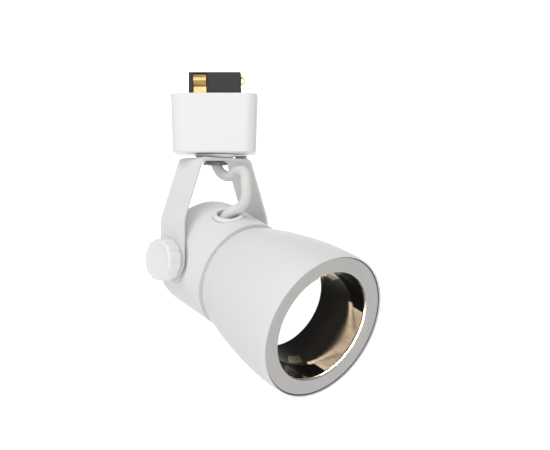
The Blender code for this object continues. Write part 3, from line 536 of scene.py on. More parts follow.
def smooth_route(points, pieces):
    """A smooth curve through the points, read at the given number of steps between each two."""
    ends = [Vector(p) for p in (points[0], *points, points[-1])]
    read = []
    for a, b, c, d in zip(ends, ends[1:], ends[2:], ends[3:]):
        for step in range(pieces):
            t = step / pieces
            bend = (2 * a - 5 * b + 4 * c - d) * t**2 + (3 * b - a - 3 * c + d) * t**3
            read.append(0.5 * (2 * b + (c - a) * t + bend))
    return [*read, ends[-1]]


def tube_rings(route, radius, sides, across):
    """Rings round a route, closed by its end points. Each ring starts on the side that across points to."""
    rings = [[tuple(route[0])]]
    for i, here in enumerate(route):
        ahead = (route[min(i + 1, len(route) - 1)] - route[max(i - 1, 0)]).normalized()
        across = (across - ahead * across.dot(ahead)).normalized()
        up = ahead.cross(across)
        turns = [2 * math.pi * side / sides for side in range(sides)]
        rings.append([tuple(here + (across * math.cos(t) + up * math.sin(t)) * radius) for t in turns])
    return [*rings, [tuple(route[-1])]]


# ---------------------------------------------------------------- supply lead

LEAD_DIAMETER = 5.0
LEAD_ROUTE = (
    (0.2, 0.0, -30.6),
    (0.4, 0.0, -32.4),
    (1.5, -0.5, -35.0),
    (2.9, -1.7, -36.9),
    (4.8, -3.3, -38.2),
    (6.7, -5.3, -38.6),
    (8.4, -7.2, -38.1),
    (10.0, -9.2, -36.9),
    (11.8, -11.5, -36.3),
    (13.7, -14.6, -36.8),
    (15.0, -17.8, -39.0),
    (15.3, -20.5, -42.8),
    (15.5, -21.1, -47.4),
    (14.4, -20.2, -51.2),
    (12.2, -18.9, -53.7),
    (10.1, -18.3, -54.7),
    (7.4, -17.9, -56.2),
    (5.5, -17.1, -58.4),
    (5.0, -16.6, -60.8),
)
LEAD_SIDES = 40
LEAD_STEPS = 8


def make_lead():
    """A braided sleeve from the hollow stem to the head's port, with a loop between them.

    Its UV map "wrap" runs round the sleeve and along it, in millimetres.
    """
    route = smooth_route(LEAD_ROUTE, LEAD_STEPS)
    rings = tube_rings(route, LEAD_DIAMETER / 2, LEAD_SIDES, Vector((0, 1, 0)))
    wrap = [(0.0, 0.0)]
    travelled = 0.0
    for i, here in enumerate(route):
        travelled += (here - route[max(i - 1, 0)]).length
        wrap += [(side / LEAD_SIDES, travelled) for side in range(LEAD_SIDES)]
    wrap.append((0.0, travelled))
    lead = skin("lead_sleeve", rings, ADAPTER)
    girth = math.pi * LEAD_DIAMETER
    layer = lead.data.uv_layers.new(name="wrap")
    for face in lead.data.polygons:
        turns = [wrap[v][0] for v in face.vertices]
        seam = max(turns) - min(turns) > 0.5
        for corner, turn in zip(face.loop_indices, turns):
            shown = turn + 1 if seam and turn < 0.5 else turn
            vertex = lead.data.loops[corner].vertex_index
            layer.data[corner].uv = (shown * girth, wrap[vertex][1])
    finish_piece(lead, None, "white_sleeve", "supply_lead")
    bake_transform(lead)


# ---------------------------------------------------------------- adapter

# Heights are from the adapter's shoulder, which is at 0.
ADAPTER_HALF_X = 20.4
ADAPTER_HALF_Y = 16.7
ADAPTER_HEIGHT = 27.8
ADAPTER_LEAN = 0.9 / ADAPTER_HEIGHT
ADAPTER_CORNER = 5.5
ADAPTER_WALL = 2.0
ADAPTER_EDGE = 0.9
SHOULDER_EDGE = 0.3
STEM_RADIUS = 4.25
STEM_BORE = 3.55
LATCH_WIDTH = 8.0
LATCH_PLAY = 0.4
WINDOW_MIDDLE = -12.5
WINDOW_HALF_HEIGHT = 4.1
LUG_NEAR = 12.0
LUG_FAR = 15.6
LUG_HALF = 1.2
LUG_LOW = -29.4
LUG_HIGH = -27.3
LUG_TURN = math.radians(100)


def adapter_ring(drop, inset):
    """The body's outline at a depth under the shoulder, moved inwards by inset."""
    lean = drop * ADAPTER_LEAN + inset
    corner = max(ADAPTER_CORNER - inset, 0.6)
    outline = rounded_rectangle(ADAPTER_HALF_X - lean, ADAPTER_HALF_Y - lean, corner)
    return [(x, y, -drop) for x, y in outline]


def round_ring(radius, height, like):
    """A circle whose points face those of another ring."""
    turns = [math.atan2(p[1], p[0]) for p in like]
    return [(radius * math.cos(t), radius * math.sin(t), height) for t in turns]


def make_adapter():
    """A drafted box, open above, with a stem hole, a window for the latch, and a lug under it as a stop."""
    floor = ADAPTER_HEIGHT - ADAPTER_WALL
    rings = [adapter_ring(0, ADAPTER_WALL + SHOULDER_EDGE), adapter_ring(0, SHOULDER_EDGE)]
    for angle in (0.5, 1.0, math.pi / 2):
        drop = SHOULDER_EDGE * (1 - math.cos(angle))
        rings.append(adapter_ring(drop, SHOULDER_EDGE * (1 - math.sin(angle))))
    rings += [adapter_ring(drop, 0) for drop in (4, 14, ADAPTER_HEIGHT - ADAPTER_EDGE - 1.2)]
    for i in range(7):
        angle = math.pi / 2 * i / 6
        drop = ADAPTER_HEIGHT - ADAPTER_EDGE * (1 - math.sin(angle))
        rings.append(adapter_ring(drop, ADAPTER_EDGE * (1 - math.cos(angle))))
    bottom = rings[-1]
    hole = STEM_RADIUS + 0.35
    rings += [
        round_ring(hole + 5.0, -ADAPTER_HEIGHT, bottom),
        round_ring(hole + 0.3, -ADAPTER_HEIGHT, bottom),
        round_ring(hole, -ADAPTER_HEIGHT + 0.3, bottom),
        round_ring(hole, -floor, bottom),
        adapter_ring(floor, ADAPTER_WALL + 1.0),
        adapter_ring(floor - 1.0, ADAPTER_WALL),
        adapter_ring(SHOULDER_EDGE, ADAPTER_WALL),
    ]
    body = skin("adapter_body", rings, ADAPTER, closed=True)
    opening = rounded_rectangle(LATCH_WIDTH / 2 + LATCH_PLAY, WINDOW_HALF_HEIGHT, 0.8, 5)
    window = prism("window", opening, ADAPTER_HALF_Y - 4, ADAPTER_HALF_Y + 4, ADAPTER, "XZ")
    window.data.transform(Matrix.Translation((0, 0, WINDOW_MIDDLE * MM)))
    cut(body, window)
    finish_piece(body, "adapter", "white_plastic", "adapter_housing")
    corners = [(LUG_NEAR, -LUG_HALF), (LUG_FAR, -LUG_HALF), (LUG_FAR, LUG_HALF), (LUG_NEAR, LUG_HALF)]
    outline = rounded([(*corner, 0.4) for corner in corners])
    lug = prism("stop_lug", outline, LUG_LOW, LUG_HIGH, Matrix.Rotation(LUG_TURN, 4, "Z"))
    finish_piece(ease(lug, 0.2), "adapter", "white_plastic")


# The latch's outline is drawn from the side. Its front and back are distances behind the adapter's middle.
TONGUE_FRONT = 9.3
TONGUE_BACK = 11.0
TONGUE_TOP = 4.0
LATCH_FOOT = -17.5
FOOT_BACK = 13.2
ARM_LOW = -11.2
ARM_HIGH = -9.0
TAB_FRONT = 17.2
TAB_BACK = 19.4
TAB_LOW = -18.0
GROOVES = 5
GROOVE_RADIUS = 0.6
GROOVE_PITCH = 1.8


def make_latch():
    """The release latch: a tongue beside the neck, and outside the back wall a grooved finger tab."""
    outline = rounded(
        [
            (TONGUE_FRONT, LATCH_FOOT, 0.3),
            (TONGUE_FRONT, 3.4, 0.5),
            (9.9, TONGUE_TOP, 0.5),
            (TONGUE_BACK, TONGUE_TOP, 0.3),
            (TONGUE_BACK, ARM_HIGH, 0.5),
            (TAB_FRONT, ARM_HIGH),
            (TAB_FRONT, -7.0, 0.3),
            (18.2, -6.6, 0.4),
            (TAB_BACK, -8.0, 0.6),
            (TAB_BACK, -17.4, 0.5),
            (18.8, TAB_LOW, 0.4),
            (TAB_FRONT, TAB_LOW, 0.2),
            (TAB_FRONT, ARM_LOW),
            (FOOT_BACK, ARM_LOW, 0.4),
            (FOOT_BACK, LATCH_FOOT, 0.3),
        ]
    )
    half = LATCH_WIDTH / 2
    latch = ease(prism("latch_tab", outline, -half, half, ADAPTER, "YZ"), 0.3)
    grooves = []
    for i in range(GROOVES):
        centre = (TAB_BACK + 0.35, -16.4 + GROOVE_PITCH * i)
        section = arc(centre, GROOVE_RADIUS, 0, 350, 14)
        grooves.append(prism(f"groove_{i}", section, -half + 1.0, half - 1.0, ADAPTER, "YZ"))
    cut(latch, *grooves)
    finish_piece(latch, "latch", "white_plastic", "release_latch")


SPRING_RADIUS = 1.7
SPRING_Y = 11.3
SPRING_WIRE = 0.25
SPRING_TURNS = 4
SPRING_TURN_STEPS = 24


def make_spring():
    """The coil that holds the latch up."""
    foot = -ADAPTER_HEIGHT + ADAPTER_WALL + GAP
    low = foot + SPRING_WIRE
    high = LATCH_FOOT - GAP - SPRING_WIRE
    steps = SPRING_TURNS * SPRING_TURN_STEPS
    route = []
    for i in range(steps + 1):
        turn = 2 * math.pi * i / SPRING_TURN_STEPS
        x = SPRING_RADIUS * math.cos(turn)
        y = SPRING_Y + SPRING_RADIUS * math.sin(turn)
        route.append(Vector((x, y, low + (high - low) * i / steps)))
    spring = skin("latch_coil", tube_rings(route, SPRING_WIRE, 12, Vector((1, 0, 0))), ADAPTER)
    finish_piece(spring, "adapter", "spring_steel", "latch_spring")
    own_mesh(spring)


COVER_THICKNESS = 2.0
NECK_HALF_X = 12.7
NECK_HALF_Y = 6.6
COVER_SCREW_X = 16.2
SCREW_BORE = 1.6
SCREW_SINK = 2.0
SINK_LOW = -1.3


def make_cover():
    """The adapter's lid, with holes for the neck, the latch's tongue and two sunk screws."""
    half_x = ADAPTER_HALF_X - ADAPTER_WALL - GAP
    half_y = ADAPTER_HALF_Y - ADAPTER_WALL - GAP
    outline = rounded_rectangle(half_x - 0.15, half_y - 0.15, 3.5)
    cover = prism("adapter_lid", outline, -COVER_THICKNESS, 0, ADAPTER)
    tongue = LATCH_WIDTH / 2 + LATCH_PLAY
    front = TONGUE_FRONT - LATCH_PLAY
    back = TONGUE_BACK + LATCH_PLAY
    tools = [
        box("neck_hole", (-NECK_HALF_X, -NECK_HALF_Y, -5), (NECK_HALF_X, NECK_HALF_Y, 5), ADAPTER),
        box("tongue_hole", (-tongue, front, -5), (tongue, back, 5), ADAPTER),
    ]
    bore, sink = SCREW_BORE, SCREW_SINK
    outline = [(0, -5), (bore, -5), (bore, SINK_LOW), (sink, SINK_LOW), (sink, 5), (0, 5)]
    for x in (-COVER_SCREW_X, COVER_SCREW_X):
        tools.append(lathe(f"screw_hole_{x}", outline, Matrix.Translation((x * MM, 0, 0)), 40))
    cut(cover, *tools)
    finish_piece(ease(cover, 0.15, 2), "adapter", "white_plastic", "adapter_cover")


# ---------------------------------------------------------------- swivel and yoke

YOKE_WIDTH = 17.2
YOKE_THICKNESS = 1.4
YOKE_TOP = -29.9
YOKE_SHOULDER = 15.3
YOKE_HALF_SPAN = 26.7
YOKE_KINK = -59.2
YOKE_EDGE = 0.35
YOKE_RUN_STEPS = 14
LEG_END_STEPS = 18
STOP_TAB_FRONT = -7.5
STOP_TAB_BACK = 0.5
STOP_TAB_FOOT = -30.6
STOP_TAB_TOP = -28.2
STOP_TAB_INNER = 12.9
STOP_TAB_OUTER = 14.1
PIVOT_HOLE = 2.75
COLLAR_RADIUS = 9.9
COLLAR_FOOT = 8.4
NUT_ACROSS_FLATS = 10.6
NUT_LOW = -33.2
NUT_HIGH = -31.6
NUT_TURN = math.radians(21)
NUT_CHAMFER = math.radians(30)


def yoke_path():
    """Places along the strip's outer face from its middle to the pivot, as (x, z, heading).

    Each corner is a point and the radius of the bend there.
    """
    corners = [
        ((0, YOKE_TOP), 0),
        ((YOKE_SHOULDER, YOKE_TOP), 3.2),
        ((YOKE_HALF_SPAN, YOKE_KINK), 14.0),
        ((YOKE_HALF_SPAN, PIVOT_HEIGHT), 0),
    ]
    here, heading = Vector(corners[0][0]), 0.0
    places = [(here.x, here.y, heading)]

    def run(end):
        for i in range(1, YOKE_RUN_STEPS + 1):
            spot = here.lerp(end, i / YOKE_RUN_STEPS)
            places.append((spot.x, spot.y, heading))

    for (corner, radius), (after, _) in zip(corners[1:], corners[2:]):
        corner, after = Vector(corner), Vector(after)
        leaving = math.atan2(after.y - corner.y, after.x - corner.x)
        turn = leaving - heading
        reach = radius * math.tan(abs(turn) / 2)
        start = corner - Vector((math.cos(heading), math.sin(heading))) * reach
        run(start)
        for i in range(1, YOKE_RUN_STEPS + 1):
            angle = heading + turn * i / YOKE_RUN_STEPS
            centre = start + Vector((-math.sin(heading), math.cos(heading))) * math.copysign(radius, turn)
            spot = centre + Vector((math.sin(angle), -math.cos(angle))) * math.copysign(radius, turn)
            places.append((spot.x, spot.y, angle))
        here, heading = Vector(places[-1][:2]), leaving
    run(Vector(corners[-1][0]))
    return places


def make_yoke():
    """A steel strip bent twice on each side, with round leg ends and softly rounded edges."""
    levels = []
    steps = 4
    for i in range(steps + 1):
        a = math.pi / 2 * i / steps
        levels.append((YOKE_EDGE * (1 - math.sin(a)), -YOKE_EDGE * (1 - math.cos(a))))
    for i in range(steps + 1):
        a = math.pi / 2 * (1 - i / steps)
        levels.append((YOKE_EDGE * (1 - math.sin(a)), -YOKE_THICKNESS + YOKE_EDGE * (1 - math.cos(a))))
    half_path = yoke_path()
    end_angles = [math.pi / 2 * i / LEG_END_STEPS for i in range(1, LEG_END_STEPS + 1)]

    def section(place, beyond, side):
        """A cross-section at a place, or past the last one by an angle round the leg's end."""
        x, z, heading = place
        across = []
        for inset, depth in levels:
            half = YOKE_WIDTH / 2 - inset
            reach = half * math.sin(beyond)
            width = half * math.cos(beyond)
            px = x + reach * math.cos(heading) - depth * math.sin(heading)
            pz = z + reach * math.sin(heading) + depth * math.cos(heading)
            across.append((side * px, width, pz))
        return across + [(px, -width, pz) for px, width, pz in across[::-1]]

    right = [section(place, 0, 1) for place in half_path]
    right += [section(half_path[-1], beyond, 1) for beyond in end_angles]
    left = [section(place, 0, -1) for place in half_path[1:]]
    left += [section(half_path[-1], beyond, -1) for beyond in end_angles]
    yoke = skin("yoke_strip", left[::-1] + right, SWIVEL)
    shape = bmesh.new()
    shape.from_mesh(yoke.data)
    bmesh.ops.remove_doubles(shape, verts=shape.verts, dist=0.002 * MM)
    bmesh.ops.holes_fill(shape, edges=shape.edges)
    bmesh.ops.recalc_face_normals(shape, faces=shape.faces)
    shape.to_mesh(yoke.data)
    shape.free()
    bore = STEM_RADIUS + GAP
    stem_hole = lathe("stem_hole", [(0, -40), (bore, -40), (bore, -20), (0, -20)], SWIVEL, 64)
    outline = [(0, -40), (PIVOT_HOLE, -40), (PIVOT_HOLE, 40), (0, 40)]
    pivot_hole = lathe("pivot_hole", outline, KNOB_SIDE, 48)
    cut(yoke, stem_hole, pivot_hole)
    finish_piece(yoke, "yoke", "white_paint", "yoke_bracket")
    outline = rounded(
        [
            (STOP_TAB_FRONT, STOP_TAB_FOOT),
            (STOP_TAB_BACK, STOP_TAB_FOOT),
            (STOP_TAB_BACK, STOP_TAB_TOP, 0.5),
            (STOP_TAB_FRONT, STOP_TAB_TOP, 0.5),
        ]
    )
    tab = ease(prism("yoke_stop_tab", outline, STOP_TAB_INNER, STOP_TAB_OUTER, SWIVEL, "YZ"), 0.2)
    finish_piece(tab, "yoke", "white_paint")


def make_collar():
    """The tapered collar between the adapter and the yoke."""
    high = -ADAPTER_HEIGHT - GAP
    low = YOKE_TOP + GAP
    bore = STEM_RADIUS + GAP
    outline = [
        (bore, high, 0.1),
        (COLLAR_RADIUS, high, 0.25),
        (COLLAR_RADIUS - 0.1, high - 0.6, 0.3),
        (COLLAR_FOOT, low, 0.25),
        (bore, low, 0.1),
    ]
    finish_piece(lathe("swivel_ring", outline, SWIVEL), "yoke", "white_plastic", "swivel_collar")


def make_stem_and_nut():
    """The hollow stem, and the hex nut under the yoke with both its faces chamfered."""
    high = -20
    outline = [
        (STEM_BORE, NUT_LOW, 0.2),
        (STEM_RADIUS, NUT_LOW, 0.25),
        (STEM_RADIUS, high, 0.25),
        (STEM_BORE, high, 0.2),
    ]
    finish_piece(lathe("stem_tube", outline, SWIVEL, 96), "yoke", "zinc", "swivel_stem")
    flats = NUT_ACROSS_FLATS / 2
    sides = 144
    middle = (NUT_HIGH + NUT_LOW) / 2
    half = (NUT_HIGH - NUT_LOW) / 2

    def ring(height, radius=None):
        """A circle of the given radius, or the nut's outside at that height."""
        places = []
        for i in range(sides):
            turn = 2 * math.pi * i / sides
            r = radius
            if radius is None:
                hexagon = flats / math.cos((turn + math.pi / 6) % (math.pi / 3) - math.pi / 6)
                depth = half - abs(height - middle)
                r = min(hexagon, flats - 0.15 + depth / math.tan(NUT_CHAMFER))
            places.append((r * math.cos(turn + NUT_TURN), r * math.sin(turn + NUT_TURN), height))
        return places

    bore = STEM_RADIUS + GAP
    rings = [ring(NUT_LOW + 0.3, bore), ring(NUT_LOW, bore + 0.2)]
    levels = (0, 0.06, 0.12, 0.2, 0.3, 0.45, 0.55, 0.7, 0.8, 0.88, 0.94, 1)
    rings += [ring(NUT_LOW + half * 2 * level) for level in levels]
    rings += [ring(NUT_HIGH, bore + 0.2), ring(NUT_HIGH - 0.3, bore)]
    nut = skin("stem_nut", rings, ADAPTER, closed=True)
    finish_piece(nut, "yoke", "zinc", "yoke_nut", angle=25)


# ---------------------------------------------------------------- head

REAR_RADIUS = 26.3
DOME_START = -6.0
DOME_LENGTH = 15.0
DOME_ROUND = 18.0
DOME_CROWN = 0.8
REAR_FRONT = 22.0
REAR_WALL = 2.2
SPIGOT_RADIUS = 24.2
SPIGOT_FRONT = 30.0
PIVOT_FLAT = 24.1
PIVOT_POCKET = 11.4
PORT_SEAT = 25.15
PORT_SEAT_RADIUS = 7.5
PORT_HOLE_RADIUS = 6.6
PORT_TOP = 27.2
GROMMET_BORE = 5.1
GROMMET_RIM = 7.4
GROMMET_LOW = 22.6


def dome(offset, steps):
    """The rounded back from the axis out to the side wall, as (r, s), moved inwards by offset."""
    flat = REAR_RADIUS - DOME_ROUND
    back = DOME_START - DOME_LENGTH + offset
    crown = [(flat * i / 6, back - DOME_CROWN * (1 - (i / 6) ** 2) ** 2) for i in range(6)]
    side = []
    for i in range(steps + 1):
        angle = math.pi / 2 * (1 - i / steps)
        r = flat + (DOME_ROUND - offset) * math.cos(angle)
        side.append((r, DOME_START - (DOME_LENGTH - offset) * math.sin(angle)))
    return crown + side


def make_rear_housing():
    """The domed shell, with a spigot for the bell, flat pockets at the pivots, and the cable port."""
    spigot_inner = SPIGOT_RADIUS - 1.8
    outline = [
        *dome(0, 24),
        *[(REAR_RADIUS, s) for s in (-2, 3, 8, 13, 18)],
        (REAR_RADIUS, REAR_FRONT, 0.45),
        (SPIGOT_RADIUS, REAR_FRONT, 0.2),
        (SPIGOT_RADIUS, SPIGOT_FRONT, 0.3),
        (spigot_inner, SPIGOT_FRONT, 0.3),
        (spigot_inner, REAR_FRONT - 2.5),
        (REAR_RADIUS - REAR_WALL, REAR_FRONT - 5),
        *dome(REAR_WALL, 12)[::-1],
    ]
    housing = head_lathe("housing_shell", outline, 144)
    pads, pockets = [], []
    pocket = [(-PIVOT_POCKET, 30), *arc((0, 0), PIVOT_POCKET, 180, 360, 64), (PIVOT_POCKET, 30)]
    for side in (-1, 1):
        low, high = sorted((side * (PIVOT_FLAT - REAR_WALL), side * (PIVOT_FLAT + 0.2)))
        pads.append(box(f"pad_{side}", (low, -9.8, -12), (high, 9.8, 13), HEAD))
        low, high = sorted((side * PIVOT_FLAT, side * (PIVOT_FLAT + 8)))
        pockets.append(prism(f"pocket_{side}", pocket, low, high, HEAD, "YZ"))
    outline = [(0, PORT_SEAT), (PORT_SEAT_RADIUS, PORT_SEAT), (PORT_SEAT_RADIUS, 32), (0, 32)]
    seat = lathe("port_seat", outline, PORT, 96)
    outline = [(0, 18), (PORT_HOLE_RADIUS, 18), (PORT_HOLE_RADIUS, 30), (0, 30)]
    hole = lathe("port_hole", outline, PORT, 96)
    unite(housing, *pads)
    cut(housing, *pockets, seat, hole)
    finish_piece(housing, "head", "white_paint", "rear_housing", angle=28)


def make_grommet():
    """The bush in the cable port, with a rounded rim."""
    seat = PORT_SEAT + GAP
    outline = [
        (GROMMET_BORE, GROMMET_LOW, 0.2),
        (6.2, GROMMET_LOW, 0.3),
        (6.3, seat, 0.1),
        (GROMMET_RIM, seat, 0.25),
        (GROMMET_RIM, PORT_TOP, 0.9),
        (GROMMET_BORE, PORT_TOP, 0.9),
    ]
    finish_piece(lathe("port_bush", outline, PORT, 96, 6), "head", "white_plastic", "cable_grommet")


# Along the head's axis, as (s, r): the four control points of the bell's outside.
BELL_CURVE = ((23.6, 25.2), (37.5, 30.0), (62.0, 35.0), (79.3, 34.0))
BELL_WALL = 2.2
BELL_BACK = 23.6
LIP_FRONT = 79.3
LIP_INNER = 33.25
LIP_ROUND = 0.37
LEDGE_S = 75.6
RING_INNER = 25.7
RING_OUTER = 32.9
RING_BACK = 77.0
RING_FRONT = 78.6
CONE_RADII = (21.1, 24.6, 25.6)
CONE_BACK = 52.9
CONE_WALL = 0.7
CONE_STEPS = 24
UPSTAND_OUTER = 33.2
UPSTAND_INNER = 32.98
LENS_RADIUS = 23.4
LENS_FRONT = 51.2
LENS_EDGE = 1.4


def bell_point(t):
    """A point (r, s) of the bell's outside, from its back at 0 to its lip at 1."""
    weights = [(1 - t) ** 3, 3 * t * (1 - t) ** 2, 3 * t**2 * (1 - t), t**3]
    s = sum(w * p[0] for w, p in zip(weights, BELL_CURVE))
    r = sum(w * p[1] for w, p in zip(weights, BELL_CURVE))
    return r, s


def make_bell():
    """The flared shell, with a rounded lip and a ledge inside it for the cone."""
    neck = SPIGOT_RADIUS + GAP
    lip_outer = bell_point(1)[0]
    inner = [(max(r - BELL_WALL, neck + 0.1), s) for r, s in (bell_point(i / 24) for i in range(21, 2, -2))]
    outline = [
        (*bell_point(0), 0.3),
        *[bell_point(i / 48) for i in range(1, 48)],
        (lip_outer, LIP_FRONT, LIP_ROUND),
        ((LIP_INNER + lip_outer) / 2, LIP_FRONT),
        (LIP_INNER, LIP_FRONT, LIP_ROUND),
        (LIP_INNER, LEDGE_S),
        (inner[0][0], LEDGE_S),
        *inner,
        (neck, SPIGOT_FRONT - 1),
        (neck, BELL_BACK, 0.3),
    ]
    finish_piece(head_lathe("bell_shell", outline, 192), "bell", "white_paint", "front_bell")


def make_mouth():
    """The nickel ring, and the cone behind it with a thin upstand between the ring and the bell's lip."""
    ring = [
        (RING_INNER, RING_BACK, 0.15),
        (RING_OUTER, RING_BACK, 0.15),
        (RING_OUTER, RING_FRONT, 0.25),
        (RING_INNER, RING_FRONT, 0.8),
    ]
    finish_piece(head_lathe("mouth_ring", ring, 192, 6), "bell", "satin_nickel", "trim_ring")
    front = RING_BACK - GAP
    flange_back = front - 0.8
    start, middle, end = CONE_RADII
    cone = []
    for i in range(CONE_STEPS + 1):
        t = i / CONE_STEPS
        r = start * (1 - t) ** 2 + 2 * middle * t * (1 - t) + end * t**2
        cone.append((r, CONE_BACK + (front - CONE_BACK) * t))
    back = [(r + CONE_WALL, s) for r, s in cone if s < front - 1.2]
    outline = [
        *cone,
        (UPSTAND_INNER, front),
        (UPSTAND_INNER, RING_FRONT),
        (UPSTAND_OUTER, RING_FRONT),
        (UPSTAND_OUTER, flange_back, 0.2),
        (back[-1][0], flange_back),
        *back[::-1],
    ]
    finish_piece(head_lathe("mouth_cone", outline, 192), "bell", "black_chrome", "anti_glare_baffle")


def make_lens():
    """The lamp's cover, a disc with a slightly crowned front."""
    middle = LENS_FRONT + 0.5
    crown = [(0, middle)]
    for i in range(1, 24):
        r = LENS_RADIUS * i / 24
        crown.append((r, middle - 0.1 * (r / LENS_RADIUS) ** 2))
    back = LENS_FRONT - LENS_EDGE
    outline = [*crown, (LENS_RADIUS, LENS_FRONT + 0.4, 0.2), (LENS_RADIUS, back), (0, back)]
    finish_piece(head_lathe("lamp_front", outline, 128), "head", "lit_glass", "lamp_lens")


# ---------------------------------------------------------------- pivot

KNOB_RADIUS = 9.85
KNOB_LOBES = 12
KNOB_SCALLOP = 0.75
KNOB_FACE = 35.2
KNOB_BACK = 28.6
KNOB_BACK_EDGE = 0.5
KNOB_RIM = 1.3
STUD_RADIUS = 2.4
SPACER_RADIUS = 8.2
SPACER_THICKNESS = 1.3
WASHER_RADIUS = 5.6
WASHER_THICKNESS = 0.6
DISC_RADIUS = 7.0
DISC_BORE = 2.8
CROSS_ARM = 2.1
CROSS_HALF = 0.42


def make_knob():
    """A round knob with shallow finger scallops, a broad rounded rim and a slightly sunk face."""
    sides = KNOB_LOBES * 16

    def ring(inset, height, depth=1.0):
        """The outline moved inwards, with scallops of that share of their full depth."""
        places = []
        for i in range(sides):
            turn = 2 * math.pi * i / sides
            scallop = KNOB_SCALLOP * depth * (1 - abs(math.cos(KNOB_LOBES * turn / 2))) ** 1.4
            r = KNOB_RADIUS - inset - scallop
            places.append((r * math.cos(turn), r * math.sin(turn), height))
        return places

    to_bore = KNOB_RADIUS - (STUD_RADIUS + GAP)
    bore_end = KNOB_BACK + 4
    sunk = KNOB_FACE - 0.3
    rings = [[(0, 0, bore_end)], ring(to_bore, bore_end, 0), ring(to_bore, KNOB_BACK + 0.3, 0)]
    rings.append(ring(to_bore - 0.3, KNOB_BACK, 0))
    for i in range(5):
        a = math.pi / 2 * i / 4
        rings.append(ring(KNOB_BACK_EDGE * (1 - math.sin(a)), KNOB_BACK + KNOB_BACK_EDGE * (1 - math.cos(a))))
    for i in range(9):
        a = math.pi / 2 * i / 8
        height = KNOB_FACE - KNOB_RIM * (1 - math.sin(a))
        rings.append(ring(KNOB_RIM * (1 - math.cos(a)), height, 1 - 0.6 * i / 8))
    rings.append(ring(KNOB_RIM + 0.5, KNOB_FACE, 0.2))
    face = ((0.9, KNOB_FACE), (1.2, KNOB_FACE - 0.08), (1.5, KNOB_FACE - 0.22), (1.9, sunk), (4, sunk))
    rings += [ring(KNOB_RIM + inset, height, 0) for inset, height in face]
    rings.append([(0, 0, sunk)])
    knob = skin("knob_grip", rings, KNOB_SIDE)
    finish_piece(knob, "knob", "white_plastic", "tilt_knob")


def make_pivot():
    """The washers outside and inside the yoke's legs, and the cross-recessed screw of the far leg."""
    low = YOKE_HALF_SPAN + GAP
    high = low + SPACER_THICKNESS
    bore, edge = PIVOT_HOLE, SPACER_RADIUS
    outline = [(bore, low, 0.15), (edge, low, 0.3), (edge, high, 0.35), (bore, high, 0.15)]
    finish_piece(lathe("knob_spacer", outline, KNOB_SIDE, 96), "washer", "white_plastic", "knob_washer")
    high = low + WASHER_THICKNESS
    edge = WASHER_RADIUS
    outline = [(bore, low, 0.1), (edge, low, 0.12), (edge, high, 0.2), (bore, high, 0.1)]
    finish_piece(lathe("screw_washer", outline, FAR_SIDE, 96), "head", "zinc", "pivot_washer")
    near = PIVOT_FLAT + GAP
    far = YOKE_HALF_SPAN - YOKE_THICKNESS - GAP
    bore, edge = DISC_BORE, DISC_RADIUS
    outline = [(bore, near, 0.1), (edge, near, 0.15), (edge, far, 0.15), (bore, far, 0.1)]
    for name, side in (("knob", KNOB_SIDE), ("far", FAR_SIDE)):
        disc = lathe(f"{name}_friction_disc", outline, side, 96)
        finish_piece(disc, "head", "black_plastic", f"friction_washer_{name}")
    seat = low + WASHER_THICKNESS + GAP
    outline = [
        (0, seat + 2.45),
        (1.2, seat + 2.42),
        (2.4, seat + 2.25),
        (3.5, seat + 1.85),
        (4.3, seat + 1.2, 0.5),
        (4.6, seat + 0.3, 0.3),
        (4.5, seat, 0.15),
        (STUD_RADIUS, seat, 0.1),
        (STUD_RADIUS, 17.9, 0.2),
        (0, 17.6),
    ]
    screw = lathe("side_screw", outline, FAR_SIDE, 96)
    arm, half = CROSS_ARM, CROSS_HALF
    cross = [(half, arm), (-half, arm), (-half, half), (-arm, half), (-arm, -half), (-half, -half)]
    cross += [(-x, -y) for x, y in cross]
    cut(screw, prism("recess", cross, seat + 0.9, seat + 5, FAR_SIDE))
    finish_piece(ease(screw, 0.06, 2, 50), "head", "zinc", "pivot_screw")


# ---------------------------------------------------------------- stage

STAGE_WHITE = (0.9, 0.9, 0.9)
FLOOR_HEIGHT = -900
FLOOR_REACH = 6000
CARD_DISTANCE = 3000
MIDDLE = (20, -20, -70)


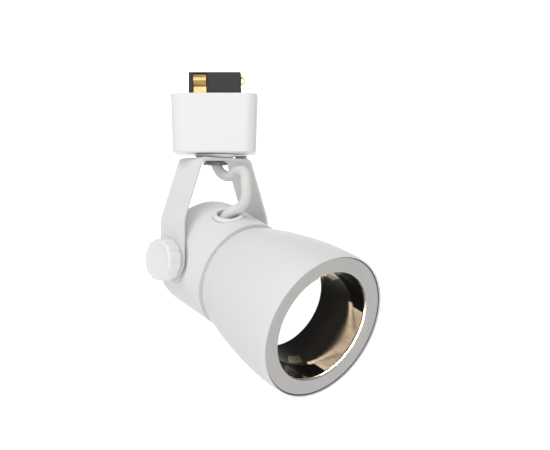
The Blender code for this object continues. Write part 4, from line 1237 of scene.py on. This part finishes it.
def stage_look(name, colour, glow):
    """A plain matt surface that glows a little."""
    made = Look(name, colour, 0.9)
    made.shader.inputs["Emission Color"].default_value = (1, 1, 1, 1)
    made.shader.inputs["Emission Strength"].default_value = glow
    return made.tint(made.noise(2, 1), 0.002).material


def make_stage():
    """A pale floor, a white card behind the part, and an even white world."""
    square = ((-1, -1), (1, -1), (1, 1), (-1, 1))
    corners = [(x * FLOOR_REACH, y * FLOOR_REACH, FLOOR_HEIGHT) for x, y in square]
    floor = add("floor", corners, [(0, 1, 2, 3)], ADAPTER)
    floor.data.materials.append(stage_look("floor", STAGE_WHITE, 0.35))
    corners = [(x, CARD_DISTANCE, z) for x, z in ((-1100, -790), (900, -790), (900, 1800), (-1100, 1800))]
    backdrop = add("backdrop", corners, [(0, 1, 2, 3)], ADAPTER)
    backdrop.data.materials.append(stage_look("backdrop", STAGE_WHITE, 1.0))
    world = bpy.data.worlds.new("studio")
    world.use_nodes = True
    sky = world.node_tree.nodes["Background"]
    sky.inputs["Color"].default_value = (1, 1, 1, 1)
    sky.inputs["Strength"].default_value = 0.5
    bpy.context.scene.world = world


def soft_light(name, place, size, power):
    """A square soft box that faces the part. Its place and size are in millimetres."""
    data = bpy.data.lights.new(name, "AREA")
    data.size = size * MM
    data.energy = power
    made = bpy.data.objects.new(name, data)
    made.location = [v * MM for v in place]
    aim = Vector(MIDDLE) - Vector(place)
    made.rotation_euler = aim.to_track_quat("-Z", "Y").to_euler()
    bpy.context.scene.collection.objects.link(made)


make_lead()
make_adapter()
make_latch()
make_spring()
make_cover()
make_yoke()
make_collar()
make_stem_and_nut()
make_rear_housing()
make_grommet()
make_bell()
make_mouth()
make_lens()
make_knob()
make_pivot()

# The CAD nodes that still show get their materials.
for subpart in frame["record"]["subparts"]:
    node = frame["nodes"][subpart["node"]]
    if not node.hide_render:
        node.material_slots[0].material = LOOKS[subpart["material_slot"]]

make_stage()
soft_light("key", (-350, -600, 700), 500, 3.7)
soft_light("fill", (50, -900, 0), 600, 1.4)
